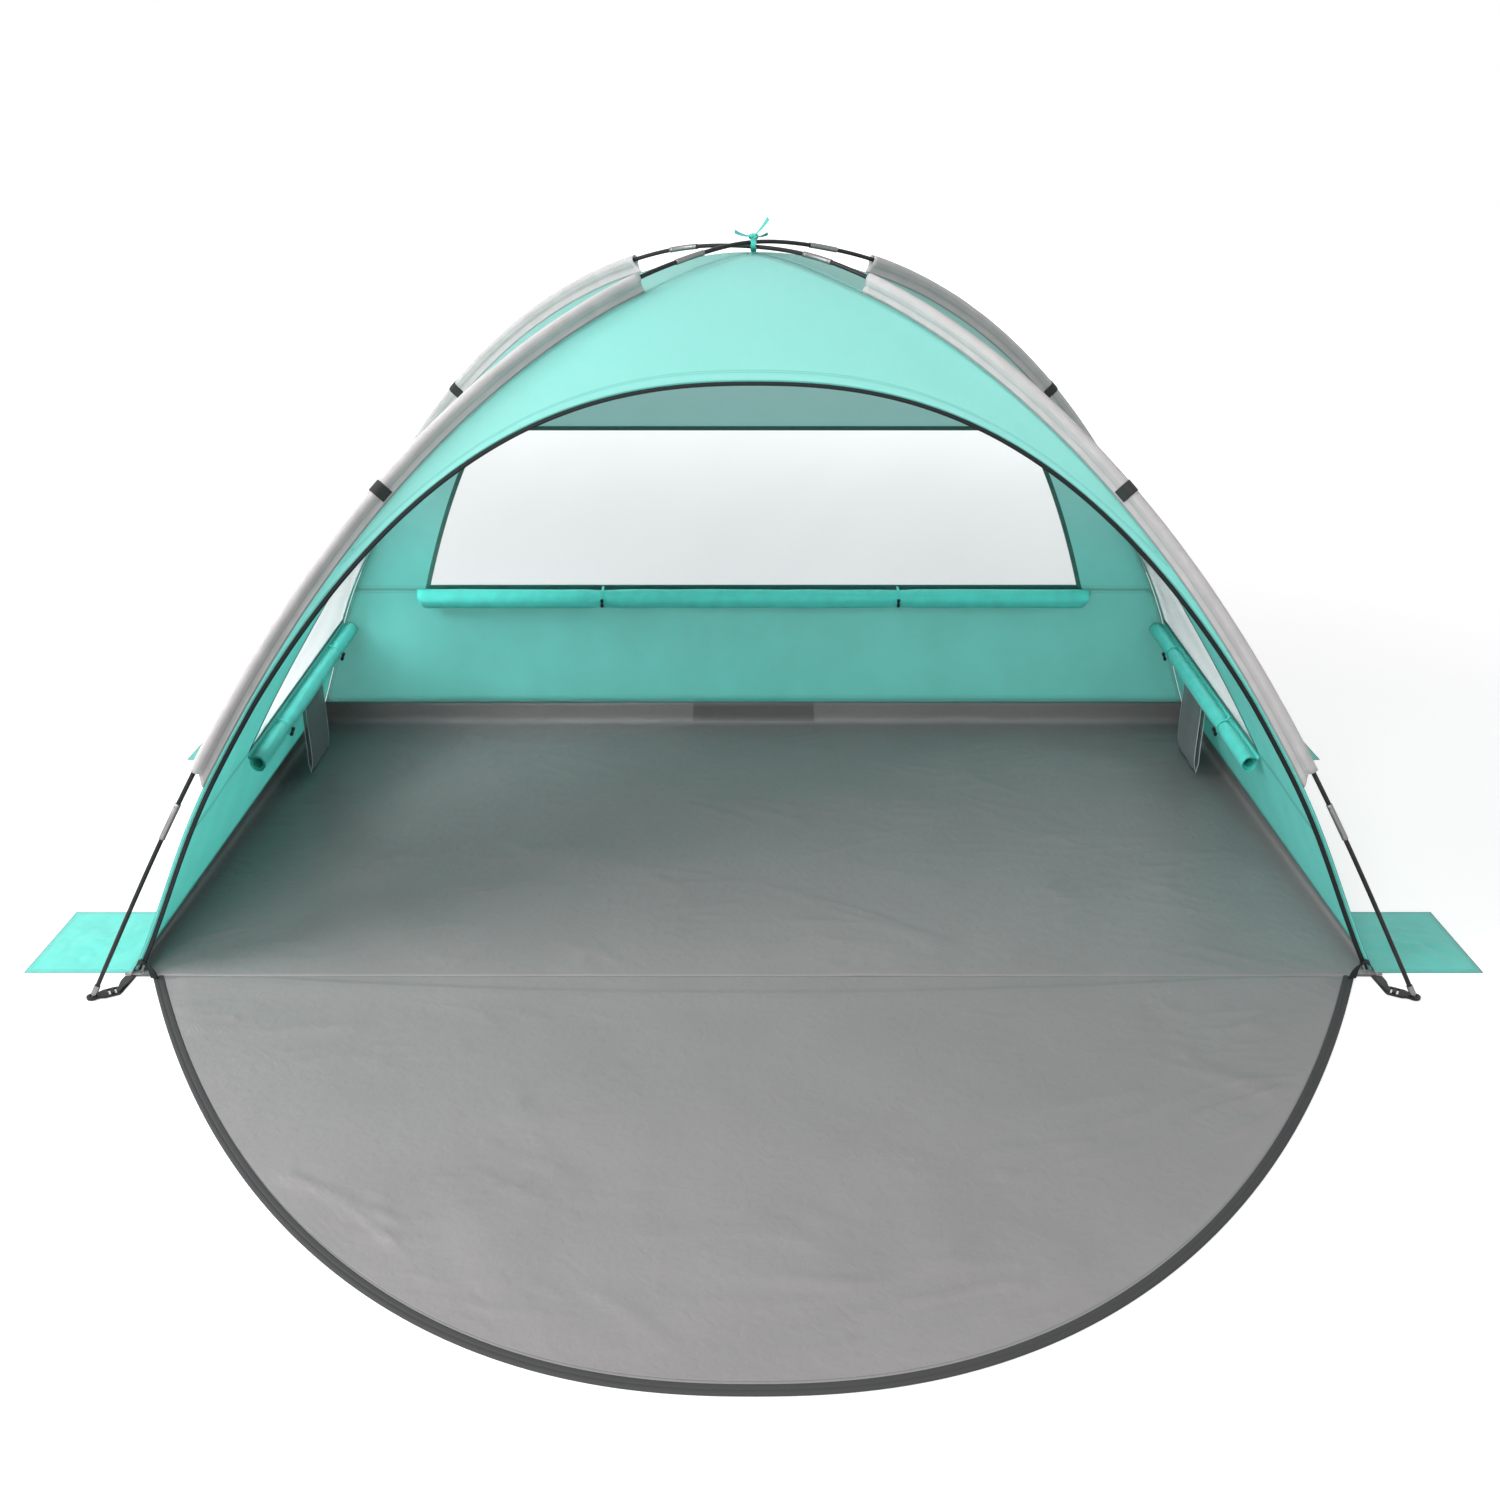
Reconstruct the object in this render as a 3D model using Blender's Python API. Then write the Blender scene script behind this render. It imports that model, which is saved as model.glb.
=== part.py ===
"""Beach tent: a two-pole dome with a bathtub floor, a laid-out door mat, windows and sand pockets.

Metres, +Z up. +X is to the right seen from the front, +Y is to the back, and the ground is z = 0.
"""

import math

import bmesh
import bpy
from mathutils import Matrix, Vector

# Whole tent
floor_width = 2.40
floor_depth = 1.35
crossing_height = 1.299
cloth = 0.0015
gap = 0.0003
seam_inset = 0.0018
front_skirt = 0.015
rear_skirt = 0.065

# Pole rods, which cross over the middle
rod_radius = 0.00425
front_foot_out = 0.043
rear_foot_out = 0.070
foot_ahead = 0.080
front_bow_in = 0.083
front_bow_out = 0.090
rear_bow_in = 0.030
rear_bow_out = 0.058
rod_join_share = 0.06
rod_lift_share = 0.12
rod_station = 0.085
rod_samples = 600
bend_samples = 240
bend_limits_share = (0.05, 0.85)
halvings = 40
curve_step_share = 0.002
rod_cross_station = 0.030
section_length = 0.376
ferrule_radius = 0.0055
ferrule_length = 0.075
ferrule_step = 0.0005
ferrules_per_arm = 5

# Seams under the poles, where the canopy panels meet
seam_drop = 0.029
apex_drop = 0.016
seam_full_share = 0.167
seam_free_share = 0.78
seam_aim_share = 0.35

# Pole sleeves, each a tunnel round the rod with a sewn fin down to the seam
sleeve_rows_share = (0.172, 0.800)
sleeve_bore = 0.0076
sleeve_radius = 0.0090
fin_neck = 0.0135
fin_neck_half = 0.0011
fin_half = 0.0008
fin_dip = 0.0008
band_share = 0.51
band_length = 0.025
band_leg = 0.024
band_thickness = 0.0012

# Doorway arch and its zip tape
arch_drop = 0.4632
arch_power = 2.37
arch_blend_share = 0.62
arch_strip = 0.008
arch_tape_width = 0.009

# Door mat and its zip tape
mat_inset = 0.059
mat_half = floor_width / 2 - mat_inset
mat_reach = 1.031
mat_power = 2.3
mat_tape_width = 0.015
mat_steps = 48

# Canopy rows and windows: rows are shares of the way down the seams
first_row_share = 0.004
row_count = 20
row_close_share = 0.45
window_lap = 0.012
back_window_rows_share = (0.564, 0.820)
side_window_rows_share = (0.600, 0.864)
back_window_top_share = (0.070, 0.930)
back_window_sill_share = (0.094, 0.906)
side_window_top_share = (0.77, 0.93)
side_window_sill_share = (0.35, 0.965)

# Window rolls with their ties and toggles
back_roll_radius = 0.026
side_roll_radius = 0.020
roll_squeeze = 0.003
roll_start_angle = 150
roll_sweep = 330
roll_lip = 0.0022
roll_off_wall = 0.003
roll_below_sill = 0.012
roll_overhang = 0.022
roll_seat = 0.0014
roll_sides = 14
roll_pinch_half = 0.050
tie_width = 0.008
tie_thickness = 0.0014
toggle_radius = 0.004
toggle_length = 0.022
toggle_groove = 0.0012
back_ties_share = (0.27, 0.72)
side_ties_share = (0.22, 0.80)

# Inner pockets
inner_pocket_width = 0.168
inner_pocket_height = 0.208
inner_pocket_depth = 0.012
inner_pocket_seat = 0.0005
inner_pocket_row_share = 0.902
inner_pocket_place_share = 0.755
inner_pocket_wave = 0.006
inner_pocket_folds = 2
inner_pocket_columns = 9

# Sand pockets
sand_pocket_length = 0.247
front_pocket_out = 0.213
rear_pocket_out = 0.270
back_pocket_width = 0.335
back_pocket_out = 0.213
sand_pocket_edge = 0.0016
sand_pocket_bulge = 0.0060
sand_pocket_from_corner = 0.014
sand_pocket_lift = 0.0004
pocket_columns = 7
pocket_rows = 7
pocket_wrinkle_share = 0.25
pocket_seam_share = 0.35

# Corner feet, pole tips and webbing
foot_thickness = 0.0045
foot_lift = 0.0022
eye_radius = 0.0052
eye_ring = 0.0115
foot_half = 0.0135
foot_waist = 0.0095
foot_waist_at = 0.012
foot_shoulder_at = 0.020
foot_length = 0.0473
foot_corner = 0.003
foot_bar = 0.0035
foot_slot = 0.005
foot_slot_half = 0.0108
foot_rib = 0.0073
foot_rib_height = 0.002
second_slot = 0.004
pin_radius = 0.003
pin_end_radius = 0.0015
pin_from = 0.002
pin_round = 0.0015
tip_radius = 0.0058
tip_from = 0.0107
tip_length = 0.020
webbing_width = 0.020
webbing_thickness = 0.0012
webbing_reach = 0.056
webbing_slope = 0.010
overrun = 0.004

# Zip sliders and pulls
slider_length = 0.013
slider_plate = 0.0018
slider_cover = 0.0055
slider_bridge = 0.0016
slider_at = 0.014
slider_play = 0.0005
pull_bar = 0.0036
pull_thickness = 0.0012
pull_length = 0.016
pull_ring = 0.0048
pull_ring_hole = 0.0030
pull_neck = 0.002
pull_ring_from_angle = 130
pull_ring_to_angle = 410
pull_ring_steps = 10

# Apex tie
tie_loop_half_depth = 0.0145
tie_loop_half_height = 0.0108
apex_strip_width = 0.011
apex_strip = 0.0014
apex_patch_half = 0.009
knot_size = (0.013, 0.008, 0.009)
left_tail = (-0.026, -0.004, 0.004)
right_tail = (0.019, -0.003, 0.003)
up_tail = (0.026, 0.000, 0.032)
tail_width = 0.008
tail_sag = 0.003
tail_steps = 3

turquoise = (0.140, 0.740, 0.600)
roll_turquoise = (0.100, 0.640, 0.520)
floor_grey = (0.180, 0.180, 0.182)
sleeve_grey = (0.390, 0.375, 0.375)
tape_grey = (0.035, 0.038, 0.040)
window_white = (0.840, 0.850, 0.850)
plain_black = (0.012, 0.012, 0.013)
pocket_grey = (0.160, 0.175, 0.175)
bright_metal = (0.620, 0.620, 0.620)


def smooth(low, high, value):
    t = min(max((value - low) / (high - low), 0), 1)
    return t * t * (3 - 2 * t)


def mix(a, b, share):
    return a + (b - a) * share


# Pole curve: the true bend of a springy rod that is pinned at both feet


def rod_angles(bend):
    values = []
    for i in range(bend_samples):
        angle = (i + 0.5) / bend_samples * math.pi / 2
        root = math.sqrt(1 - (bend * math.sin(angle)) ** 2)
        values.append(2 * root - 1 / root)
    return values


def rod_bend(rise_to_reach):
    low, high = bend_limits_share
    for _ in range(halvings):
        bend = (low + high) / 2
        reach = sum(rod_angles(bend)) * math.pi / 2 / bend_samples
        if 2 * bend / reach < rise_to_reach:
            low = bend
        else:
            high = bend
    return bend


front_foot_x = floor_width / 2 + front_foot_out
rear_foot_x = floor_width / 2 + rear_foot_out
foot_y = floor_depth / 2 + foot_ahead
rod_steps = rod_angles(rod_bend(crossing_height / math.hypot(front_foot_x, foot_y)))
rod_sums = [sum(rod_steps[:i]) / sum(rod_steps) for i in range(len(rod_steps) + 1)]


def reach_share(p):
    place = min(max(p, 0), 1) * len(rod_steps)
    i = min(int(place), len(rod_steps) - 1)
    return mix(rod_sums[i], rod_sums[i + 1], place - i)


def pole_point(p, side, end):
    """A point of a pole arm: p is 0 at the crossing and 1 at the ground."""
    reach = reach_share(p)
    bow = 4 * reach * (1 - reach)
    if end < 0:
        x = front_foot_x * reach - front_bow_in * bow
        y = foot_y * reach + front_bow_out * bow
    else:
        x = rear_foot_x * reach - rear_bow_in * bow
        y = foot_y * reach + rear_bow_out * bow
    return Vector((side * x, end * y, crossing_height * math.cos(min(p, 1) * math.pi / 2)))


def pole_frame(p, side, end):
    """The arm's tangent, the direction in to the seam, and the direction across both."""
    step = curve_step_share
    tangent = pole_point(p + step, side, end) - pole_point(max(p - step, 0), side, end)
    tangent.normalize()
    inward = Vector((0, 0, seam_aim_share * crossing_height)) - pole_point(p, side, end)
    inward -= inward.dot(tangent) * tangent
    inward.normalize()
    return tangent, inward, tangent.cross(inward)


def seam_point(p, side, end):
    """A point of the seam under an arm, from below the crossing to the floor's corner."""
    drop = mix(apex_drop, seam_drop, smooth(0, seam_full_share, p))
    corner = Vector((side * floor_width / 2, end * floor_depth / 2, 0)) - pole_point(1, side, end)
    inward = pole_frame(p, side, end)[1]
    if p <= 0:
        inward = Vector((0, 0, -1))
    free = smooth(seam_free_share, 1, p)
    return pole_point(p, side, end) + inward * drop * (1 - free) + corner * free


def seam_at_height(height, end):
    low, high = 0.5, 1
    for _ in range(halvings):
        p = (low + high) / 2
        if seam_point(p, 1, end).z > height:
            low = p
        else:
            high = p
    return p


front_bottom = seam_at_height(front_skirt + gap, -1)
rear_bottom = seam_at_height(rear_skirt + gap, 1)

# Front profile: distance up the front panel from the floor for each place on the seam
profile_steps = 400
profile = [seam_point(i / profile_steps, 1, -1) for i in range(profile_steps + 1)]
profile_rise = [0]
for i in range(profile_steps, 0, -1):
    step_up = math.hypot(profile[i].y - profile[i - 1].y, profile[i].z - profile[i - 1].z)
    profile_rise.append(profile_rise[-1] + step_up)
profile_rise.reverse()
seam_length = profile_rise[0]
arch_rise = seam_length - arch_drop


def rise_at(p):
    place = min(max(p, 0), 1) * profile_steps
    i = min(int(place), profile_steps - 1)
    return mix(profile_rise[i], profile_rise[i + 1], place - i)


def share_at_rise(rise):
    low, high = 0, 1
    for _ in range(halvings):
        p = (low + high) / 2
        if rise_at(p) > rise:
            low = p
        else:
            high = p
    return p


# Canopy panels: each is ruled by straight rows between two seams


def row_ends(panel, q):
    if panel == "front":
        p = q * front_bottom
        return (p, -1, -1), (p, 1, -1)
    if panel == "back":
        p = q * rear_bottom
        return (p, -1, 1), (p, 1, 1)
    side = -1 if panel == "left" else 1
    return (q * front_bottom, side, -1), (q * rear_bottom, side, 1)


def inset_end(start, other):
    """A row's end, moved in along the row so that it stays clear of the seam by seam_inset."""
    point = seam_point(*start)
    row = (seam_point(*other) - point).normalized()
    step = curve_step_share
    ahead = seam_point(min(start[0] + step, 1), start[1], start[2])
    behind = seam_point(max(start[0] - step, step), start[1], start[2])
    along = (ahead - behind).normalized()
    return point + row * seam_inset / row.cross(along).length


def row_point(panel, q, u):
    start, finish = row_ends(panel, q)
    return mix(inset_end(start, finish), inset_end(finish, start), u)


def row_length(panel, q):
    return (row_point(panel, q, 1) - row_point(panel, q, 0)).length


def panel_frame(panel, q, u):
    """Inward, up-the-panel and along-the-row directions at a place on a panel."""
    step = 2 * curve_step_share
    along = (row_point(panel, q, 1) - row_point(panel, q, 0)).normalized()
    up = row_point(panel, max(q - step, first_row_share), u) - row_point(panel, q + step, u)
    up -= up.dot(along) * along
    up.normalize()
    inward = along.cross(up)
    centre = Vector((0, 0, seam_aim_share * crossing_height))
    if inward.dot(centre - row_point(panel, q, u)) < 0:
        inward = -inward
    return inward, up, along


def panel_point(panel, q, u, depth):
    return row_point(panel, q, u) + panel_frame(panel, q, u)[0] * depth


def lap_share():
    return window_lap / seam_length


def panel_rows():
    """Rows that every panel and sleeve shares, with the window edges among them."""
    edges = []
    for top, sill in (back_window_rows_share, side_window_rows_share):
        edges += [top - lap_share(), top, sill, sill + lap_share()]
    edges += sleeve_rows_share
    rows = [mix(first_row_share, 1, i / row_count) for i in range(row_count + 1)]
    close = row_close_share / row_count
    rows = [row for row in rows if min(abs(row - edge) for edge in edges) > close]
    return sorted(rows + edges)


rows = panel_rows()


# Meshes and objects


def make_material(name, colour, roughness, metallic=0.0, alpha=1.0):
    material = bpy.data.materials.new(name)
    material.use_nodes = True
    shader = material.node_tree.nodes["Principled BSDF"]
    shader.inputs["Base Color"].default_value = (*colour, 1)
    shader.inputs["Roughness"].default_value = roughness
    shader.inputs["Metallic"].default_value = metallic
    shader.inputs["Alpha"].default_value = alpha
    material.diffuse_color = (*colour, alpha)
    return material


def make_object(name, bm, look, origin=None, smooth_shading=False):
    """Close the bmesh into a named object whose origin is the given point."""
    if origin is None:
        origin = Vector()
    bmesh.ops.translate(bm, verts=bm.verts[:], vec=-origin)
    bmesh.ops.recalc_face_normals(bm, faces=bm.faces[:])
    mesh = bpy.data.meshes.new(name)
    bm.to_mesh(mesh)
    bm.free()
    for face in mesh.polygons:
        face.use_smooth = smooth_shading
    thing = bpy.data.objects.new(name, mesh)
    thing.location = origin
    thing.data.materials.append(make_material(name, *look))
    bpy.context.collection.objects.link(thing)
    return thing


def skin(bm, loops, ring=False):
    """Join closed loops of points into one closed body, capped at both ends or joined into a ring."""
    made = [[bm.verts.new(point) for point in loop] for loop in loops]
    count = len(made[0])
    pairs = list(zip(made, made[1:]))
    if ring:
        pairs.append((made[-1], made[0]))
    for first, second in pairs:
        for i in range(count):
            j = (i + 1) % count
            bm.faces.new((first[i], first[j], second[j], second[i]))
    if not ring:
        bm.faces.new(made[0])
        bm.faces.new(made[-1])


def sheet(columns, row_total, place, is_open=None):
    """A cloth: a grid of unit cells, thickened, then carried to its place by a function."""
    bm = bmesh.new()
    bmesh.ops.create_grid(bm, x_segments=columns - 1, y_segments=row_total - 1, size=0.5)
    for vert in bm.verts:
        vert.co.x = round((vert.co.x + 0.5) * (columns - 1))
        vert.co.y = round((vert.co.y + 0.5) * (row_total - 1))
    if is_open:
        cells = [face for face in bm.faces if is_open(*map(int, face.calc_center_median()[:2]))]
        bmesh.ops.delete(bm, geom=cells, context="FACES")
    bmesh.ops.solidify(bm, geom=bm.faces[:], thickness=1)
    for vert in bm.verts:
        column, row = round(vert.co.x), round(vert.co.y)
        vert.co = place(column, row, abs(vert.co.z) > 0.5)
    return bm


def ribbon(bm, points, sides, width, thickness, ring=False):
    """A strap of even thickness along a path; sides are its width directions."""
    loops = []
    count = len(points)
    for i, point in enumerate(points):
        before = points[i - 1] if i or ring else None
        after = points[(i + 1) % count] if i < count - 1 or ring else None
        legs = []
        if before is not None:
            legs.append((point - before).normalized())
        if after is not None:
            legs.append((after - point).normalized())
        tangent = sum(legs, Vector()).normalized()
        lift = sides[i].cross(tangent).normalized() * thickness / 2 / tangent.dot(legs[0])
        half = sides[i] * width / 2
        loops.append([point + half + lift, point - half + lift])
        loops[-1] += [point - half - lift, point + half - lift]
    skin(bm, loops, ring)


def circle(centre, first, second, radius, sides):
    turn = 2 * math.pi / sides
    spots = [(math.cos(i * turn), math.sin(i * turn)) for i in range(sides)]
    return [centre + (first * c + second * s) * radius for c, s in spots]


def prism(outline, bottom, top):
    bm = bmesh.new()
    skin(bm, [[Vector((x, y, z)) for x, y in outline] for z in (bottom, top)])
    return bm


def combine(base, others, operation):
    """Join or cut meshes held in bmeshes, and hand back one bmesh."""
    things = []
    for bm in [base] + others:
        bmesh.ops.recalc_face_normals(bm, faces=bm.faces[:])
        mesh = bpy.data.meshes.new("shape")
        bm.to_mesh(mesh)
        bm.free()
        thing = bpy.data.objects.new("shape", mesh)
        bpy.context.collection.objects.link(thing)
        things.append(thing)
    for tool in things[1:]:
        modifier = things[0].modifiers.new("join", "BOOLEAN")
        modifier.operation = operation
        modifier.solver = "EXACT"
        modifier.object = tool
    graph = bpy.context.evaluated_depsgraph_get()
    result = bmesh.new()
    result.from_object(things[0], graph)
    for thing in things:
        bpy.data.objects.remove(thing)
    return result


# Looks: colour, roughness, metallic and alpha of each kind of piece
canopy_look = (turquoise, 0.7)
roll_look = (roll_turquoise, 0.65)
floor_look = (floor_grey, 0.45)
sleeve_look = (sleeve_grey, 0.75)
tape_look = (tape_grey, 0.7)
window_look = (window_white, 0.6, 0.0, 0.85)
plastic_look = (plain_black, 0.4)
webbing_look = (plain_black, 0.8)
pocket_look = (pocket_grey, 0.6)
metal_look = (bright_metal, 0.3, 1.0)


# Floor


def make_floor():
    half_x, half_y = floor_width / 2, floor_depth / 2
    front_top = seam_at_height(front_skirt, -1)
    rear_top = seam_at_height(rear_skirt, 1)
    bm = bmesh.new()
    base = {}
    rim = {}
    for side in (-1, 1):
        for end, top in ((-1, front_top), (1, rear_top)):
            base[side, end] = bm.verts.new((side * half_x, end * half_y, 0))
            rim[side, end] = bm.verts.new(seam_point(top, side, end))
    bm.faces.new((base[-1, -1], base[-1, 1], base[1, 1], base[1, -1]))
    bm.faces.new((base[-1, 1], rim[-1, 1], rim[1, 1], base[1, 1]))
    bm.faces.new((base[-1, -1], rim[-1, -1], rim[-1, 1], base[-1, 1]))
    bm.faces.new((base[1, -1], base[1, 1], rim[1, 1], rim[1, -1]))
    floor = make_object("floor", bm, floor_look)
    wall = floor.modifiers.new("cloth", "SOLIDIFY")
    wall.thickness = cloth
    wall.offset = -1
    wall.use_even_offset = True


# Door mat, which turns up about the floor's front edge

mat_back_y = -floor_depth / 2 - gap
mat_hinge = Vector((0, mat_back_y, cloth))


def mat_edge(angle, out):
    """A point of the mat's edge in plan, moved out square to the edge."""
    def place(at):
        across = mat_half * abs(math.sin(at)) ** (2 / mat_power)
        return Vector((math.copysign(across, at), -mat_reach * math.cos(at) ** 2, 0))
    step = math.pi / mat_steps / 4
    far = math.pi / 2
    along = place(min(angle + step, far)) - place(max(angle - step, -far))
    outward = Vector((along.y, -along.x, 0)).normalized()
    spot = place(angle) + outward * out
    return Vector((spot.x, min(spot.y, 0) + mat_back_y, 0))


def make_door_mat():
    angles = [mix(-math.pi / 2, math.pi / 2, i / mat_steps) for i in range(mat_steps + 1)]
    outline = [mat_edge(angle, 0)[:2] for angle in angles]
    make_object("door_mat", prism(outline, 0, cloth), floor_look, mat_hinge)

    def place(column, row, inner):
        spot = mat_edge(angles[column], mat_tape_width if row else gap)
        spot.z = gap + (cloth if inner else 0)
        return spot

    make_object("mat_zip_tape", sheet(mat_steps + 1, 2, place), tape_look, mat_hinge)


# Doorway: the arch curve, the panel above it and its zip tape


def arch_at(q):
    """Half width and rise of the doorway arch for a place on the front seam."""
    p = q * front_bottom
    blend = arch_blend_share * front_bottom
    if p >= blend:
        rise = rise_at(p)
    else:
        angle = math.acos(math.sqrt(rise_at(blend) / arch_rise)) * p / blend
        rise = arch_rise * math.cos(angle) ** 2
    free = (floor_width / 2) * max(1 - rise / arch_rise, 0) ** (1 / arch_power)
    seam_x = seam_point(share_at_rise(rise), 1, -1).x
    return Vector((min(free, seam_x - arch_strip), rise))


front_columns = [-q for q in reversed(rows)] + rows


def arch_flat(column, inset):
    """A point of the arch in the front panel's flat pattern, moved in to the doorway."""
    def spot(index):
        q = front_columns[index]
        flat = arch_at(abs(q))
        return Vector((math.copysign(flat.x, q), flat.y))
    last = len(front_columns) - 1
    along = spot(min(column + 1, last)) - spot(max(column - 1, 0))
    inward = Vector((along.y, -along.x)).normalized()
    if column in (0, last):
        return spot(column) + Vector((inset / inward.x, 0))
    return spot(column) + inward * inset


def front_point(flat, depth):
    """Carry a point of the flat pattern on to the bent front panel."""
    q = share_at_rise(flat.y) / front_bottom
    spot = row_point("front", q, 0.5)
    return Vector((flat.x, spot.y, spot.z)) + panel_frame("front", q, 0.5)[0] * depth


def make_doorway():
    across = 4

    def place_valance(column, row, inner):
        q = front_columns[column]
        outer = row_point("front", abs(q), 1 if q > 0 else 0)
        flat_outer = Vector((outer.x, rise_at(abs(q) * front_bottom)))
        flat = mix(arch_flat(column, 0), flat_outer, row / (across - 1))
        return front_point(flat, cloth if inner else 0)

    def place_tape(column, row, inner):
        return front_point(arch_flat(column, arch_tape_width if row else gap), cloth if inner else 0)

    count = len(front_columns)
    make_object("front_valance", sheet(count, across, place_valance), canopy_look)
    make_object("arch_zip_tape", sheet(count, 2, place_tape), tape_look)


# Walls and windows


def window_shares(panel):
    if panel == "back":
        return back_window_rows_share, back_window_top_share, back_window_sill_share
    return side_window_rows_share, side_window_top_share, side_window_sill_share


def wall_columns(panel, q):
    """Column places of a row: the ends, the window's edges and its laps."""
    (top, sill), top_edges, sill_edges = window_shares(panel)
    level = min(max(q, top), sill)
    share = (level - top) / (sill - top)
    first = mix(top_edges[0], sill_edges[0], share)
    second = mix(top_edges[1], sill_edges[1], share)
    lap = window_lap / row_length(panel, level)
    return [0, first - lap, first, second, second + lap, 1]


def make_walls():
    for panel in ("left", "right", "back"):
        (top, sill), _, _ = window_shares(panel)
        window_rows = [q for q in rows if top - lap_share() <= q <= sill + lap_share()]
        window_deep = cloth + gap

        def is_open(column, row):
            return column == 2 and top <= rows[row] < sill

        def place_wall(column, row, inner):
            q = rows[row]
            return panel_point(panel, q, wall_columns(panel, q)[column], cloth if inner else 0)

        def place_window(column, row, inner):
            q = window_rows[row]
            depth = window_deep + (cloth if inner else 0)
            return panel_point(panel, q, wall_columns(panel, q)[column + 1], depth)

        make_object(panel + "_wall", sheet(6, len(rows), place_wall, is_open), canopy_look)
        window = sheet(4, len(window_rows), place_window)
        make_object(panel + "_window", window, window_look)


# Window rolls, ties and toggles


def roll_frame(panel, u):
    """Origin on the wall's inner face at the roll's height, with inward, up and along."""
    (_, sill), _, _ = window_shares(panel)
    q = sill + lap_share() + roll_below_sill / seam_length
    inward, up, along = panel_frame(panel, q, u)
    return panel_point(panel, q, u, cloth + roll_seat), inward, up, along


def roll_radius(panel):
    return back_roll_radius if panel == "back" else side_roll_radius


def roll_section(frame, full_radius, radius):
    """Outline of the rolled flap: a tail against the wall and one spiral turn with its lip."""
    origin, inward, up, _ = frame
    centre = full_radius + roll_off_wall
    tail_top = roll_below_sill - gap
    spots = [(0, tail_top), (cloth, tail_top), (cloth, tail_top / 2)]
    start = math.radians(roll_start_angle)
    for i in range(roll_sides + 1):
        angle = start - math.radians(roll_sweep) * i / roll_sides
        turn = radius - roll_lip * (1 - i / roll_sides)
        spots.append((centre + turn * math.cos(angle), turn * math.sin(angle)))
    spots.append((0, 0))
    return [origin + inward * a + up * b for a, b in spots]


def make_rolls():
    for panel in ("left", "right", "back"):
        (_, sill), _, (first, second) = window_shares(panel)
        ties = back_ties_share if panel == "back" else side_ties_share
        length = row_length(panel, sill)
        full_radius = roll_radius(panel)
        low, high = first - roll_overhang / length, second + roll_overhang / length
        pinch = roll_pinch_half / length
        spots = [mix(first, second, share) for share in ties]
        stations = [low, low + pinch / 2, high - pinch / 2, high, (spots[0] + spots[1]) / 2]
        for spot in spots:
            stations += [spot - pinch, spot - pinch / 4, spot, spot + pinch / 4, spot + pinch]
        bm = bmesh.new()
        loops = []
        for u in sorted(stations):
            near = min(abs(u - spot) for spot in spots)
            radius = full_radius - roll_squeeze * (1 - smooth(pinch / 4, pinch, near))
            loops.append(roll_section(roll_frame(panel, u), full_radius, radius))
        skin(bm, loops)
        make_object(panel + "_window_roll", bm, roll_look)
        for name, spot in zip(("first", "second"), spots):
            make_tie(panel + "_" + name, roll_frame(panel, spot), full_radius)


def make_tie(name, frame, full_radius):
    """A strap from the sill round the roll to the wall, and the toggle that hangs on it."""
    origin, inward, up, along = frame
    centre = full_radius + roll_off_wall
    reach = full_radius - roll_squeeze + gap + tie_thickness / 2
    sill_face = cloth + gap
    spots = [(sill_face, reach), (centre, reach)]
    for i in range(1, 8):
        angle = math.pi / 2 - math.pi * i / 8
        spots.append((centre + reach * math.cos(angle), reach * math.sin(angle)))
    spots += [(centre, -reach), (tie_thickness / 3, -reach)]
    points = [origin + inward * a + up * b for a, b in spots]
    bm = bmesh.new()
    ribbon(bm, points, [along] * len(points), tie_width, tie_thickness)
    make_object(name + "_roll_tie", bm, roll_look)

    out = centre + reach + tie_thickness / 2 + gap + toggle_radius
    pivot = origin + inward * out + up * toggle_length / 2
    across = inward.cross(up)
    groove = toggle_radius - toggle_groove
    half = toggle_length / 2
    waist = toggle_groove * 2
    steps = (
        (half, groove),
        (half - toggle_groove, toggle_radius),
        (waist, toggle_radius),
        (toggle_groove, groove),
        (-toggle_groove, groove),
        (-waist, toggle_radius),
        (toggle_groove - half, toggle_radius),
        (-half, groove),
    )
    loops = [circle(pivot + up * (at - half), inward, across, radius, 8) for at, radius in steps]
    bm = bmesh.new()
    skin(bm, loops)
    make_object(name + "_toggle", bm, plastic_look, pivot, True)


# Inner pockets


def make_inner_pockets():
    for panel in ("left", "right"):
        q, u = inner_pocket_row_share, inner_pocket_place_share
        along = panel_frame(panel, q, u)[2]
        down = Vector((0, 0, -1))
        inward = along.cross(down)
        if inward.x * row_point(panel, q, u).x > 0:
            inward = -inward
        inward.z = 0
        inward.normalize()
        top = panel_point(panel, q, u, cloth + inner_pocket_seat)

        def loop(level, shrink):
            """A flat ring of points round the pocket at a level, with its soft waves."""
            points = []
            half = inner_pocket_width / 2 - shrink
            for layer in (0, 1):
                for i in range(inner_pocket_columns):
                    share = i / (inner_pocket_columns - 1)
                    if layer == 1:
                        share = 1 - share
                    deep = shrink if layer == 0 else inner_pocket_depth - shrink
                    fold = (1 - math.cos(2 * math.pi * inner_pocket_folds * share)) / 2
                    wave = inner_pocket_wave * level * fold
                    spot = top + along * mix(-half, half, share) + inward * (deep + wave)
                    points.append(spot + down * (inner_pocket_height * level))
            return points

        bottom = 1 - cloth / inner_pocket_height
        inside = [loop(bottom, cloth), loop(0.5, cloth), loop(0, cloth)]
        outside = [loop(0, 0), loop(0.5, 0), loop(1, 0)]
        bm = bmesh.new()
        skin(bm, inside + outside)
        make_object(panel + "_inner_pocket", bm, pocket_look)


# Sand pockets, which turn up about the floor's edge


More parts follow.
